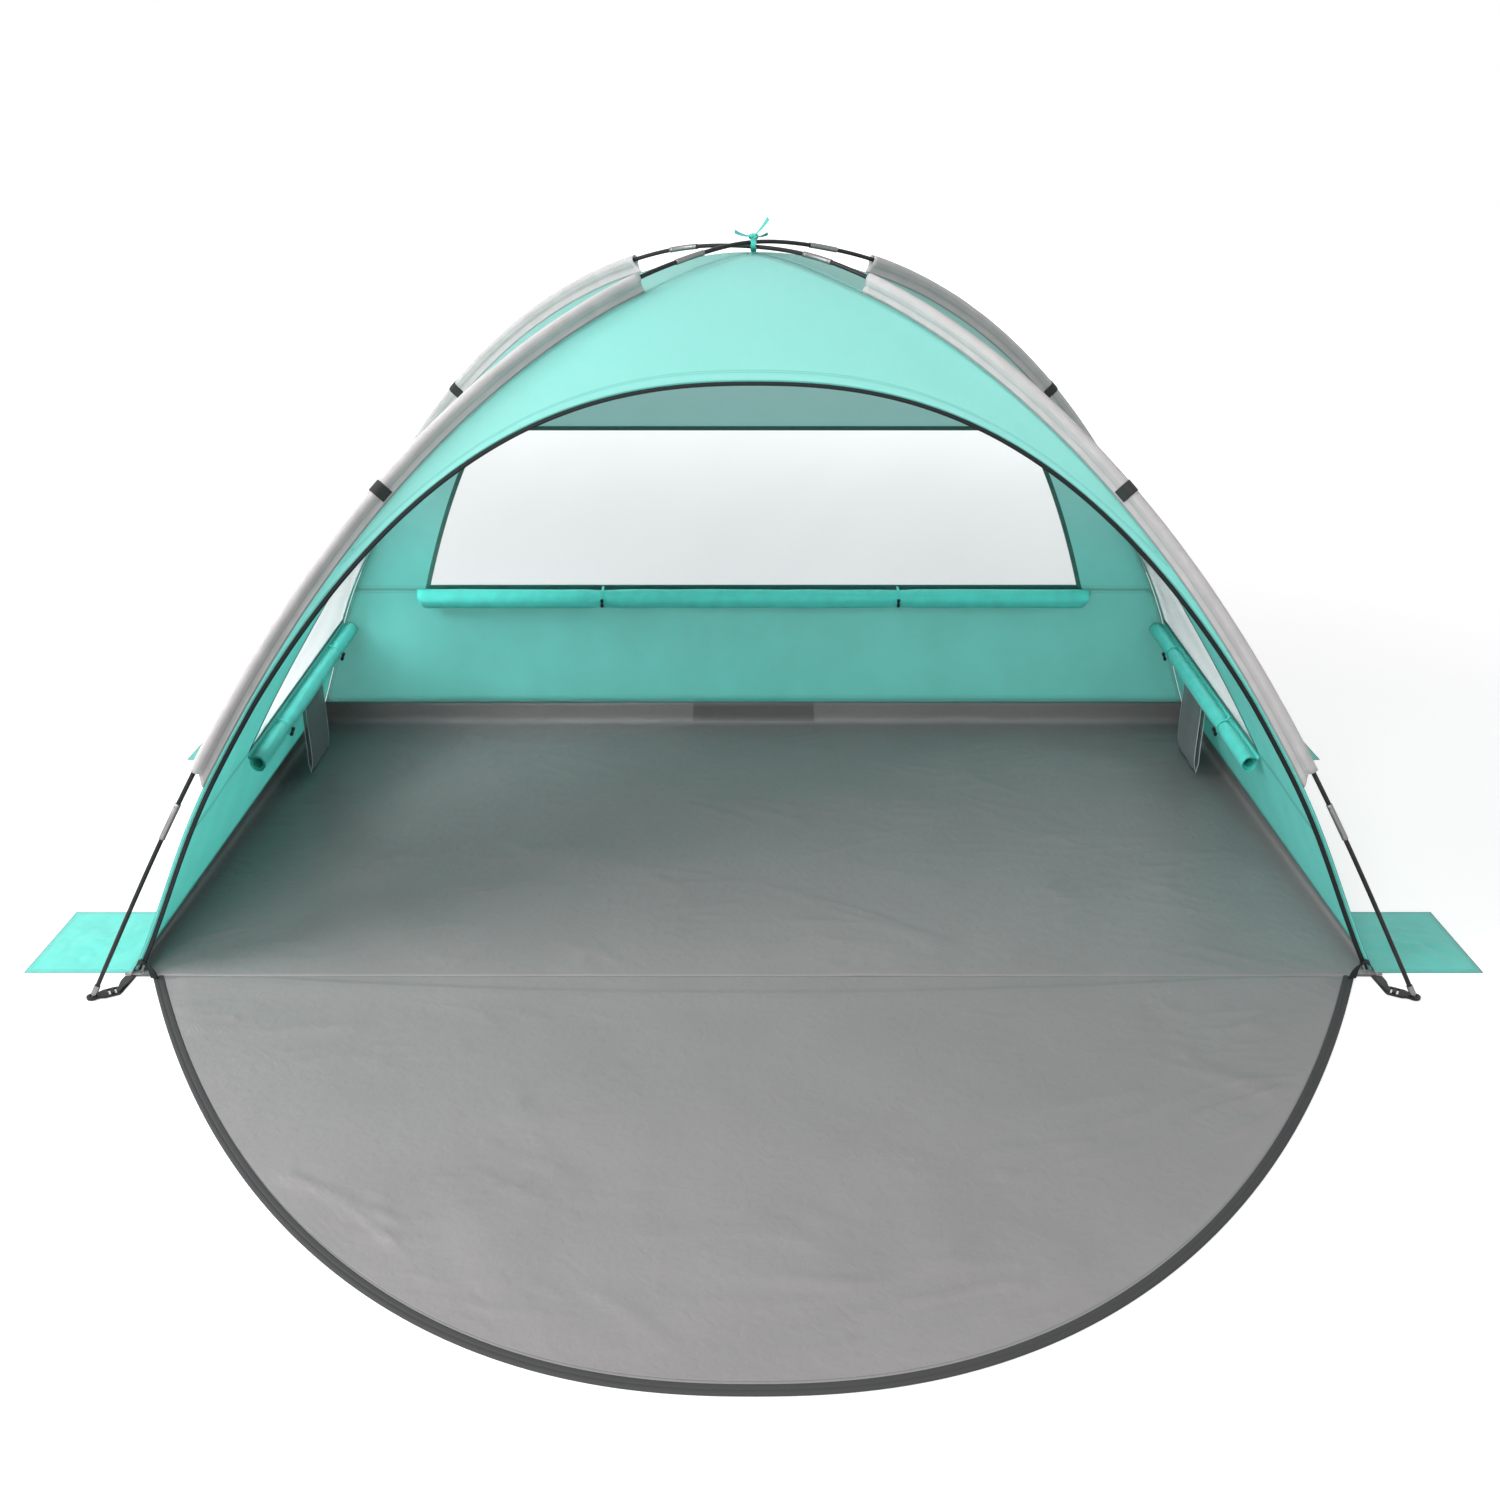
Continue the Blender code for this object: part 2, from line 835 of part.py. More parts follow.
def make_sand_pocket(name, start, along, outward, length, reach):
    """A flat cloth pocket: start is its corner at the floor, on the hinge line."""
    def place(column, row, inner):
        u, v = column / (pocket_columns - 1), row / (pocket_rows - 1)
        high = sand_pocket_edge
        if inner:
            puff = math.sin(math.pi * u) * math.sin(math.pi * v)
            wrinkle = 1 - pocket_wrinkle_share * (1 - math.cos(5 * math.pi * u + 2 * math.pi * v))
            high += sand_pocket_bulge * puff * wrinkle * smooth(0, pocket_seam_share, u)
        base = high if inner else 0
        spot = start + outward * (gap + u * reach) + along * v * length
        return spot + Vector((0, 0, sand_pocket_lift + base))

    hinge = start + outward * gap + along * length / 2
    hinge.z = sand_pocket_lift + sand_pocket_edge
    make_object(name, sheet(pocket_columns, pocket_rows, place), canopy_look, hinge)


def make_sand_pockets():
    for side, side_name in ((-1, "left"), (1, "right")):
        for end, end_name in ((-1, "front"), (1, "rear")):
            far = floor_depth / 2 - sand_pocket_from_corner
            start = Vector((side * floor_width / 2, end * far, 0))
            reach = front_pocket_out if end < 0 else rear_pocket_out
            name = end_name + "_" + side_name + "_sand_pocket"
            along, outward = Vector((0, -end, 0)), Vector((side, 0, 0))
            make_sand_pocket(name, start, along, outward, sand_pocket_length, reach)
    start = Vector((-back_pocket_width / 2, floor_depth / 2, 0))
    along, outward = Vector((1, 0, 0)), Vector((0, 1, 0))
    make_sand_pocket("back_sand_pocket", start, along, outward, back_pocket_width, back_pocket_out)


# Pole rods, with their metal ferrules


def rod_point(t, side):
    """A point of a whole rod: t is -1 at the front foot on the given side, 1 at the rear foot."""
    p = abs(t)
    if p >= rod_join_share:
        spot = pole_point(p, side, -1) if t < 0 else pole_point(p, -side, 1)
    else:
        first = pole_point(rod_join_share, side, -1)
        last = pole_point(rod_join_share, -side, 1)
        knee = Vector((0, 0, 2 * crossing_height - first.z))
        f = (t / rod_join_share + 1) / 2
        spot = first * (1 - f) ** 2 + knee * 2 * f * (1 - f) + last * f * f
    lift = (rod_radius + gap / 2) * (1 - smooth(0, rod_lift_share, p))
    spot.z -= side * lift
    return spot


def make_rods():
    samples = rod_samples
    for side, name in ((-1, "front_left_to_rear_right_rod"), (1, "front_right_to_rear_left_rod")):
        points = [rod_point(mix(-1, 1, i / samples), side) for i in range(samples + 1)]
        run = [0]
        for first, second in zip(points, points[1:]):
            run.append(run[-1] + (second - first).length)
        middle = run[samples // 2]

        def at(distance):
            i = next(k for k in range(samples) if run[k + 1] >= distance or k == samples - 1)
            return mix(points[i], points[i + 1], (distance - run[i]) / (run[i + 1] - run[i]))

        start = tip_from + tip_length + gap
        end = run[-1] - start
        count = round((end - start) / rod_station)
        stations = [(mix(start, end, i / count), rod_radius) for i in range(count + 1)]
        stations += [(middle + way * rod_cross_station, rod_radius) for way in (-1, 0, 1)]
        for i in range(ferrules_per_arm):
            for way in (-1, 1):
                centre = middle + way * (i + 0.5) * section_length
                low, high = centre - ferrule_length / 2, centre + ferrule_length / 2
                clear = ferrule_length / 2 + rod_station / 4
                stations = [pair for pair in stations if abs(pair[0] - centre) >= clear]
                stations += [(low - ferrule_step, rod_radius), (low, ferrule_radius)]
                stations += [(centre, ferrule_radius)]
                stations += [(high, ferrule_radius), (high + ferrule_step, rod_radius)]
        stations.sort()
        curve = bpy.data.curves.new(name, "CURVE")
        curve.dimensions = "3D"
        curve.bevel_depth = 1
        curve.bevel_resolution = 1
        curve.use_fill_caps = True
        spline = curve.splines.new("POLY")
        spline.points.add(len(stations) - 1)
        for spot, (distance, radius) in zip(spline.points, stations):
            spot.co = (*at(distance), 1)
            spot.radius = radius
        curve.materials.append(make_material(name, *plastic_look))
        thing = bpy.data.objects.new(name, curve)
        bpy.context.collection.objects.link(thing)


# Sleeves and their bands

octagon = [math.radians(22.5 + 45 * i) for i in range(8)]


def sleeve_spot(p, side, end, inward_by, across_by):
    _, inward, across = pole_frame(p, side, end)
    return pole_point(p, side, end) + inward * inward_by + across * across_by


def sleeve_outline(fin_end):
    """Section outside the tunnel and down the fin, starting where the fin leaves the tunnel."""
    spots = [(sleeve_radius * math.cos(a), sleeve_radius * math.sin(a)) for a in octagon]
    spots += [(fin_neck, -fin_neck_half), (fin_end, -fin_half)]
    return spots + [(fin_end, fin_half), (fin_neck, fin_neck_half)]


def make_sleeve(name, side, end):
    bottom = front_bottom if end < 0 else rear_bottom
    low, high = sleeve_rows_share
    places = [q * bottom for q in rows if low <= q <= high]
    bore = [(sleeve_bore * math.cos(a), sleeve_bore * math.sin(a)) for a in octagon]
    bm = bmesh.new()
    outer, inner = [], []
    for p in places:
        fin_end = (seam_point(p, side, end) - pole_point(p, side, end)).dot(pole_frame(p, side, end)[1])
        outline = sleeve_outline(fin_end + fin_dip)
        outer.append([bm.verts.new(sleeve_spot(p, side, end, *spot)) for spot in outline])
        inner.append([bm.verts.new(sleeve_spot(p, side, end, *spot)) for spot in bore])
    for loops in (outer, inner):
        count = len(loops[0])
        for first, second in zip(loops, loops[1:]):
            for i in range(count):
                j = (i + 1) % count
                bm.faces.new((first[i], first[j], second[j], second[i]))
    for out, hole in ((outer[0], inner[0]), (outer[-1], inner[-1])):
        for i in range(7):
            bm.faces.new((out[i], out[i + 1], hole[i + 1], hole[i]))
        bm.faces.new((out[7], out[8], hole[7]))
        bm.faces.new((out[8], out[11], hole[0], hole[7]))
        bm.faces.new((out[11], out[0], hole[0]))
        bm.faces.new((out[8], out[9], out[10], out[11]))
    make_object(name + "_sleeve", bm, sleeve_look)


def band_path(offset):
    """Half of the band's path round the sleeve, at an offset out from the sleeve's surface."""
    leg = (band_leg, fin_neck_half + offset)
    neck = (fin_neck + offset, fin_neck_half + offset)
    radius = sleeve_radius + offset
    return [leg, neck] + [(radius * math.cos(a), radius * math.sin(a)) for a in octagon[:4]]


def make_band(name, side, end):
    bottom = front_bottom if end < 0 else rear_bottom
    places = [q * bottom for q in rows]
    i = min(range(len(places)), key=lambda k: abs(places[k] - band_share))
    inner, outer = band_path(gap), band_path(gap + band_thickness)
    outline = inner + [(a, -b) for a, b in reversed(inner)]
    outline += [(a, -b) for a, b in outer] + list(reversed(outer))

    def ring(toward):
        """The band's section, moved along the sleeve's straight run toward a neighbouring row."""
        arm = pole_point(places[toward], side, end) - pole_point(places[i], side, end)
        share = band_length / 2 / arm.length
        loop = []
        for spot in outline:
            here = sleeve_spot(places[i], side, end, *spot)
            loop.append(mix(here, sleeve_spot(places[toward], side, end, *spot), share))
        return loop

    loops = [ring(i - 1), [sleeve_spot(places[i], side, end, *spot) for spot in outline], ring(i + 1)]
    bm = bmesh.new()
    skin(bm, loops)
    make_object(name + "_sleeve_band", bm, webbing_look)


# Corner feet, pole tips and webbing


def foot_outline():
    spots = [(foot_length, foot_half - foot_corner), (foot_length - foot_corner, foot_half)]
    spots += [(foot_shoulder_at, foot_half), (foot_waist_at, foot_waist)]
    start = math.radians(60)
    for i in range(9):
        angle = mix(start, 2 * math.pi - start, i / 8)
        spots.append((eye_ring * math.cos(angle), eye_ring * math.sin(angle)))
    spots += [(foot_waist_at, -foot_waist), (foot_shoulder_at, -foot_half)]
    return spots + [(foot_length - foot_corner, -foot_half), (foot_length, foot_corner - foot_half)]


def box_outline(low, high, half):
    return [(low, -half), (high, -half), (high, half), (low, half)]


def foot_mesh():
    top = foot_thickness
    slot_end = foot_length - foot_bar
    slot_start = slot_end - foot_slot
    rib_start = slot_start - foot_rib
    rib_outline = box_outline(rib_start + gap, slot_start - gap, foot_half - foot_corner)
    rib = prism(rib_outline, top / 2, top + foot_rib_height)
    plate = combine(prism(foot_outline(), 0, top), [rib], "UNION")
    spots = circle(Vector(), Vector((1, 0, 0)), Vector((0, 1, 0)), eye_radius, 16)
    eye = prism([spot[:2] for spot in spots], -overrun, top + overrun)
    slot = prism(box_outline(slot_start, slot_end, foot_slot_half), -overrun, top + overrun)
    second_outline = box_outline(rib_start - second_slot, rib_start, foot_slot_half)
    second = prism(second_outline, -overrun, top + overrun)
    return combine(plate, [eye, slot, second], "DIFFERENCE")


def make_corner(name, side, end):
    ground = pole_point(1, side, end)
    up = (pole_point(1 - curve_step_share, side, end) - ground).normalized()

    # Metal tip with a stepped pin through the eye of the foot
    first = up.cross(Vector((0, 0, 1))).normalized()
    second = up.cross(first)
    pin_top = tip_from
    steps = (
        (pin_from, pin_end_radius),
        (pin_from + pin_round, pin_radius),
        (pin_top, pin_radius),
        (pin_top, tip_radius),
        (pin_top + tip_length, tip_radius),
    )
    bm = bmesh.new()
    skin(bm, [circle(ground + up * at, first, second, radius, 12) for at, radius in steps])
    make_object(name + "_pole_tip", bm, metal_look, None, True)

    # Foot, turned so that its bar faces the webbing
    eye = ground + up * (foot_lift + foot_thickness / 2) / up.z
    eye.z = foot_lift
    corner = Vector((side * floor_width / 2, end * floor_depth / 2, foot_lift))
    aim = corner + Vector((0, end * webbing_reach, 0)) - eye
    turn = math.atan2(aim.y, aim.x)
    bm = foot_mesh()
    place = Matrix.Translation(eye) @ Matrix.Rotation(turn, 4, "Z")
    bmesh.ops.transform(bm, matrix=place, verts=bm.verts[:])
    make_object(name + "_foot", bm, plastic_look)

    # Webbing: from the floor's corner over the bar, through the slot and back underneath
    toward = aim.normalized()
    bar_half = foot_bar / 2
    bar = eye + toward * (foot_length - bar_half)
    pull = corner - bar
    length = pull.length - gap
    pull.normalize()
    bar_side = Vector((-toward.y, toward.x, 0))
    end_side = Vector((-pull.y, pull.x, 0))
    if bar_side.dot(end_side) < 0:
        end_side = -end_side
    clear = gap + webbing_thickness / 2
    over = foot_thickness + clear
    cut = math.sqrt(0.5) * clear
    low_end = -clear
    path = [
        (length, low_end + webbing_thickness + gap),
        (webbing_slope + bar_half, over),
        (bar_half, over),
        (-bar_half, over),
        (-bar_half - cut, foot_thickness + cut),
        (-bar_half - clear, foot_thickness),
        (-bar_half - clear, 0),
        (-bar_half - cut, -cut),
        (-bar_half, -clear),
        (bar_half, -clear),
        (length, low_end),
    ]
    points, sides = [], []
    for at, height in path:
        along = pull if at > bar_half else -toward
        share = smooth(bar_half, length, at)
        spot = bar + (along * at if at > bar_half else toward * at)
        points.append(spot + Vector((0, 0, height)))
        sides.append(mix(bar_side, end_side, share).normalized())
    bm = bmesh.new()
    ribbon(bm, points, sides, webbing_width, webbing_thickness)
    make_object(name + "_webbing", bm, webbing_look)


# Zip sliders and pulls at the foot of the doorway


def make_slider(side, side_name):
    last, before = (len(front_columns) - 1, len(front_columns) - 2) if side > 0 else (0, 1)
    foot = front_point(arch_flat(last, gap), cloth / 2)
    along = (front_point(arch_flat(before, gap), cloth / 2) - foot).normalized()
    across = front_point(arch_flat(last, arch_tape_width), cloth / 2) - foot
    across = (across - across.dot(along) * along).normalized()
    outward = across.cross(along) * side
    if outward.y > 0:
        outward = -outward
    edge = foot + along * slider_at
    inner_edge = arch_tape_width
    low, high = inner_edge - slider_cover, inner_edge + slider_play + slider_bridge
    face = cloth / 2 + slider_play
    back = face + slider_plate
    section = [
        (low, face), (low, back), (high, back), (high, -back),
        (low, -back), (low, -face), (high - slider_bridge, -face), (high - slider_bridge, face),
    ]
    loops = []
    for way in (-1, 1):
        centre = edge + along * way * slider_length / 2
        loops.append([centre + across * a + outward * b for a, b in section])
    bm = bmesh.new()
    skin(bm, loops)
    make_object(side_name + "_zip_slider", bm, metal_look, edge)

    # Pull: a bar with a ring at its end, hanging in front of the slider
    middle = (low + high) / 2
    half = pull_bar / 2
    pivot = edge + across * middle + outward * (back + gap + pull_thickness / 2) + along * half
    ring_at = pull_length
    top = pull_thickness / 2
    shank = ring_at - pull_neck - pull_ring / 2
    spots = [(half, top), (-half, top), (-half, -shank)]
    for i in range(pull_ring_steps + 1):
        angle = math.radians(mix(pull_ring_from_angle, pull_ring_to_angle, i / pull_ring_steps))
        spots.append((pull_ring * math.cos(angle), -ring_at + pull_ring * math.sin(angle)))
    spots.append((half, -shank))
    plate = prism(spots, -pull_thickness / 2, pull_thickness / 2)
    ring = circle(Vector((0, -ring_at, 0)), Vector((1, 0, 0)), Vector((0, 1, 0)), pull_ring_hole, 10)
    hole = prism([spot[:2] for spot in ring], -overrun, overrun)
    bm = combine(plate, [hole], "DIFFERENCE")
    turn = Matrix((across, along, outward)).transposed().to_4x4()
    bmesh.ops.transform(bm, matrix=Matrix.Translation(pivot) @ turn, verts=bm.verts[:])
    make_object(side_name + "_zip_pull", bm, metal_look, pivot)


# Apex tie: a strip round both rods, knotted, with loose ends, sewn to a patch on the canopy


def tail_strip(start, tip):
    """A loose end of the strip that sags a little between the knot and its tip."""
    bm = bmesh.new()
    reach = Vector(tip)
    side = reach.cross(Vector((0, 1, 0))).normalized().cross(reach).normalized()
    points = []
    for i in range(tail_steps + 1):
        share = i / tail_steps
        sag = Vector((0, 0, -tail_sag * math.sin(math.pi * share)))
        points.append(start + reach * share + sag)
    ribbon(bm, points, [side] * len(points), tail_width, apex_strip)
    return bm


def crossing_point():
    """Where the two rods cross, seen from above."""
    low, high = -rod_join_share, rod_join_share
    for _ in range(halvings):
        t = (low + high) / 2
        if rod_point(t, -1).x < 0:
            low = t
        else:
            high = t
    return Vector((0, rod_point(t, -1).y, crossing_height))


def make_apex_tie():
    centre = crossing_point()
    steps = 16
    loop = []
    for i in range(steps):
        angle = 2 * math.pi * i / steps
        depth = (tie_loop_half_depth + apex_strip / 2) * math.cos(angle)
        height = (tie_loop_half_height + apex_strip / 2) * math.sin(angle)
        loop.append(centre + Vector((0, depth, height)))
    band = bmesh.new()
    ribbon(band, loop, [Vector((1, 0, 0))] * steps, apex_strip_width, apex_strip, True)

    low = crossing_height - apex_drop + gap
    high = crossing_height - tie_loop_half_height - apex_strip / 2
    patch_outline = box_outline(-apex_patch_half, apex_patch_half, apex_patch_half)
    patch = prism(patch_outline, low, low + apex_strip)
    stem_outline = box_outline(-apex_strip_width / 2, apex_strip_width / 2, apex_strip * 2)
    stem = prism(stem_outline, low + apex_strip / 2, high)
    bmesh.ops.translate(stem, vec=(0, centre.y, 0), verts=stem.verts[:])

    knot_at = centre + Vector((0, -tie_loop_half_depth / 4, tie_loop_half_height + knot_size[2] / 2))
    knot = bmesh.new()
    bmesh.ops.create_icosphere(knot, subdivisions=1, radius=0.5)
    bmesh.ops.scale(knot, vec=Vector(knot_size), verts=knot.verts[:])
    bmesh.ops.translate(knot, vec=knot_at, verts=knot.verts[:])
    tails = [tail_strip(knot_at, tip) for tip in (left_tail, right_tail, up_tail)]
    bm = combine(band, [patch, stem, knot] + tails, "UNION")
    make_object("apex_tie", bm, canopy_look)


def main():
    for thing in list(bpy.data.objects):
        bpy.data.objects.remove(thing)
    make_floor()
    make_door_mat()
    make_doorway()
    make_walls()
    make_rolls()
    make_inner_pockets()
    make_sand_pockets()
    make_rods()
    for side, side_name in ((-1, "left"), (1, "right")):
        make_slider(side, side_name)
        for end, end_name in ((-1, "front"), (1, "rear")):
            name = end_name + "_" + side_name
            make_sleeve(name, side, end)
            make_band(name, side, end)
            make_corner(name, side, end)
    make_apex_tie()


main()
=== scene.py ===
"""Beach tent: cloth, poles and fittings with their finishes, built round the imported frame."""

import bisect
import functools
import math

import bmesh
import bpy
from bpy.props import FloatProperty, FloatVectorProperty, IntProperty
from mathutils import Color, Matrix, Vector, noise


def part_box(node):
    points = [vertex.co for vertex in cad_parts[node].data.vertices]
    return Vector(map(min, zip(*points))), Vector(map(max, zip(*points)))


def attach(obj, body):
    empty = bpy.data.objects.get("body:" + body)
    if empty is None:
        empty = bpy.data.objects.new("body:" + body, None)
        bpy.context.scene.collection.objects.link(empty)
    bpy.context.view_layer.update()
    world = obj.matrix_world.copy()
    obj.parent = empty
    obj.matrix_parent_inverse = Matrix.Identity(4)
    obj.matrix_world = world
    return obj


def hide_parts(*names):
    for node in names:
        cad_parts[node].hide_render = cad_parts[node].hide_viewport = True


bl_info = {
    "name": "Beach tent",
    "version": (1, 0, 0),
    "blender": (4, 5, 0),
    "location": "View3D > Sidebar > Beach tent",
    "description": "Builds the cloth, poles and fittings of a beach tent round its frame",
    "category": "Object",
}

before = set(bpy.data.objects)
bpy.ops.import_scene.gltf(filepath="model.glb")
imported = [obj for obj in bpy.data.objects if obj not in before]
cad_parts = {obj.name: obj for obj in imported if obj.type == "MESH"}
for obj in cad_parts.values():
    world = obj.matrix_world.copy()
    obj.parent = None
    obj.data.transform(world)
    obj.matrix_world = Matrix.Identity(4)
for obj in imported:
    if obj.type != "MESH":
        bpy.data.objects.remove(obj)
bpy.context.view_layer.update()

# Sizes shared with the frame, in metres
floor_low, floor_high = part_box("floor")
floor_width = floor_high.x - floor_low.x
floor_depth = floor_high.y - floor_low.y
crossing_height = 1.299
cloth = 0.0015
gap = 0.0003
front_skirt, rear_skirt = 0.015, 0.065
front_foot_x, rear_foot_x = floor_width / 2 + 0.043, floor_width / 2 + 0.070
foot_y = floor_depth / 2 + 0.080
front_bow, rear_bow = (0.083, 0.090), (0.030, 0.058)
rod_radius = 0.00425
seam_drop, apex_drop = 0.029, 0.016
seam_full, seam_free, seam_aim = 0.167, 0.78, 0.35
sleeve_rows = (0.172, 0.800)
arch_drop, arch_power, arch_blend, arch_strip = 0.463, 2.37, 0.62, 0.008
mat_half, mat_reach, mat_power = 1.141, 1.031, 2.3
first_row = 0.004
window_lap = 0.012
window_rows = {"back": (0.564, 0.820), "left": (0.600, 0.864), "right": (0.600, 0.864)}
window_tops = {"back": (0.070, 0.930), "left": (0.77, 0.93), "right": (0.77, 0.93)}
window_sills = {"back": (0.094, 0.906), "left": (0.35, 0.965), "right": (0.35, 0.965)}
roll_radius = {"back": 0.026, "left": 0.020, "right": 0.020}
tie_shares = {"back": (0.27, 0.72), "left": (0.22, 0.80), "right": (0.22, 0.80)}
roll_squeeze, roll_off_wall, roll_below_sill, roll_seat = 0.003, 0.003, 0.012, 0.0014
tie_thickness = 0.0014
floor_lift = 0.0020
sand_pocket_width, sand_pocket_reach = 0.247, {-1: 0.213, 1: 0.270}
back_pocket_width, back_pocket_reach = 0.335, 0.213
rod_parts, profile_parts = 240, 400
row_inset, row_inset_from = 0.0018, 0.02

# Curves of the poles and seams


def smooth(low, high, value):
    t = min(max((value - low) / (high - low), 0), 1)
    return t * t * (3 - 2 * t)


def mix(a, b, share):
    return a + (b - a) * share


def spread(low, high, count):
    return [mix(low, high, i / (count - 1)) for i in range(count)]


def halve(low, high, steps, is_low):
    """The place between low and high up to which is_low holds."""
    for _ in range(steps):
        middle = (low + high) / 2
        if is_low(middle):
            low = middle
        else:
            high = middle
    return middle


def running(points, distance=lambda first, second: (second - first).length):
    """How far along a line of points each of them lies."""
    run = [0.0]
    for first, second in zip(points, points[1:]):
        run.append(run[-1] + distance(first, second))
    return run


def rod_angles(bend):
    """Steps along the ground of a bent rod, in even parts of its turn."""
    values = []
    for i in range(rod_parts):
        root = math.sqrt(1 - (bend * math.sin((i + 0.5) / rod_parts * math.pi / 2)) ** 2)
        values.append(2 * root - 1 / root)
    return values


def rod_is_flatter(bend, rise_to_reach):
    return 2 * bend / (sum(rod_angles(bend)) * math.pi / (2 * rod_parts)) < rise_to_reach


def rod_bend(rise_to_reach):
    return halve(0.05, 0.85, 40, lambda bend: rod_is_flatter(bend, rise_to_reach))


rod_steps = rod_angles(rod_bend(crossing_height / math.hypot(front_foot_x, foot_y)))
rod_sums = [sum(rod_steps[:i]) / sum(rod_steps) for i in range(len(rod_steps) + 1)]


@functools.lru_cache(maxsize=None)
def pole_point(p, side, end):
    """A point of a pole arm: p is 0 at the crossing and 1 at the ground."""
    place = min(max(p, 0), 1) * len(rod_steps)
    i = min(int(place), len(rod_steps) - 1)
    reach = mix(rod_sums[i], rod_sums[i + 1], place - i)
    bow = 4 * reach * (1 - reach)
    foot_x, (bow_in, bow_out) = (front_foot_x, front_bow) if end < 0 else (rear_foot_x, rear_bow)
    x = foot_x * reach - bow_in * bow
    y = foot_y * reach + bow_out * bow
    return Vector((side * x, end * y, crossing_height * math.cos(min(p, 1) * math.pi / 2)))


@functools.lru_cache(maxsize=None)
def pole_frame(p, side, end):
    """The arm's tangent, the direction in to the seam, and the direction across both."""
    tangent = pole_point(p + 0.002, side, end) - pole_point(max(p - 0.002, 0), side, end)
    tangent.normalize()
    inward = Vector((0, 0, seam_aim * crossing_height)) - pole_point(p, side, end)
    inward -= inward.dot(tangent) * tangent
    inward.normalize()
    return tangent, inward, tangent.cross(inward)


@functools.lru_cache(maxsize=None)
def seam_point(p, side, end):
    drop = mix(apex_drop, seam_drop, smooth(0, seam_full, p))
    corner = Vector((side * floor_width / 2, end * floor_depth / 2, 0)) - pole_point(1, side, end)
    inward = pole_frame(p, side, end)[1] if p > 0 else Vector((0, 0, -1))
    free = smooth(seam_free, 1, p)
    return pole_point(p, side, end) + inward * drop * (1 - free) + corner * free


def seam_at_height(height, end):
    return halve(0.5, 1, 40, lambda p: seam_point(p, 1, end).z > height)


front_bottom = seam_at_height(front_skirt + gap, -1)
rear_bottom = seam_at_height(rear_skirt + gap, 1)
profile = [seam_point(i / profile_parts, 1, -1) for i in range(profile_parts, -1, -1)]
profile_rise = running(profile, lambda low, high: math.hypot(low.y - high.y, low.z - high.z))
profile_rise.reverse()
seam_length = profile_rise[0]
arch_rise = seam_length - arch_drop
lap_share = window_lap / seam_length


def rise_at(p):
    place = min(max(p, 0), 1) * profile_parts
    i = min(int(place), profile_parts - 1)
    return mix(profile_rise[i], profile_rise[i + 1], place - i)


def share_at_rise(rise):
    return halve(0, 1, 30, lambda p: rise_at(p) > rise)


@functools.lru_cache(maxsize=None)
def row_line(panel, q):
    """Both ends of a straight row of a canopy panel, a little clear of the seams."""
    if panel == "front":
        start, finish = (q * front_bottom, -1, -1), (q * front_bottom, 1, -1)
    elif panel == "back":
        start, finish = (q * rear_bottom, -1, 1), (q * rear_bottom, 1, 1)
    else:
        side = -1 if panel == "left" else 1
        start, finish = (q * front_bottom, side, -1), (q * rear_bottom, side, 1)
    first, last = seam_point(*start), seam_point(*finish)
    row = (last - first).normalized()
    inset = row_inset if q > row_inset_from else row_inset * max(q, first_row) / row_inset_from
    return first + row * inset, last - row * inset


def row_point(panel, q, u):
    first, last = row_line(panel, q)
    return mix(first, last, u)


@functools.lru_cache(maxsize=None)
def row_length(panel, q):
    first, last = row_line(panel, q)
    return (last - first).length


def panel_frame(panel, q, u):
    """Inward, up-the-panel and along-the-row directions at a place on a panel."""
    first, last = row_line(panel, q)
    along = (last - first).normalized()
    up = row_point(panel, max(q - 0.004, first_row), u) - row_point(panel, q + 0.004, u)
    up -= up.dot(along) * along
    up.normalize()
    inward = along.cross(up)
    if inward.dot(Vector((0, 0, seam_aim * crossing_height)) - row_point(panel, q, u)) < 0:
        inward = -inward
    return inward, up, along


def panel_point(panel, q, u, depth):
    """A point of a canopy panel, moved in from the cloth."""
    return row_point(panel, q, u) + panel_frame(panel, q, u)[0] * depth


def arch_at(q):
    """Half width and rise of the doorway arch for a place on the front seam."""
    p = q * front_bottom
    blend = arch_blend * front_bottom
    if p >= blend:
        rise = rise_at(p)
    else:
        angle = math.acos(math.sqrt(rise_at(blend) / arch_rise)) * p / blend
        rise = arch_rise * math.cos(angle) ** 2
    free = (floor_width / 2) * max(1 - rise / arch_rise, 0) ** (1 / arch_power)
    return Vector((min(free, seam_point(share_at_rise(rise), 1, -1).x - arch_strip), rise))


@functools.lru_cache(maxsize=None)
def arch_flat(q, inset):
    """A point of the arch in the front panel's flat pattern, moved in to the doorway."""
    def spot(place):
        flat = arch_at(min(abs(place), 1))
        return Vector((math.copysign(flat.x, place), flat.y))
    along = spot(min(q + 0.01, 1)) - spot(max(q - 0.01, -1))
    inward = Vector((along.y, -along.x)).normalized()
    if abs(q) >= 1:
        return spot(q) + Vector((inset / inward.x, 0))
    return spot(q) + inward * inset


def front_point(flat, depth):
    """Carry a point of the flat pattern on to the bent front panel."""
    q = share_at_rise(flat.y) / front_bottom
    spot = row_point("front", q, 0.5)
    return Vector((flat.x, spot.y, spot.z)) + panel_frame("front", q, 0.5)[0] * depth


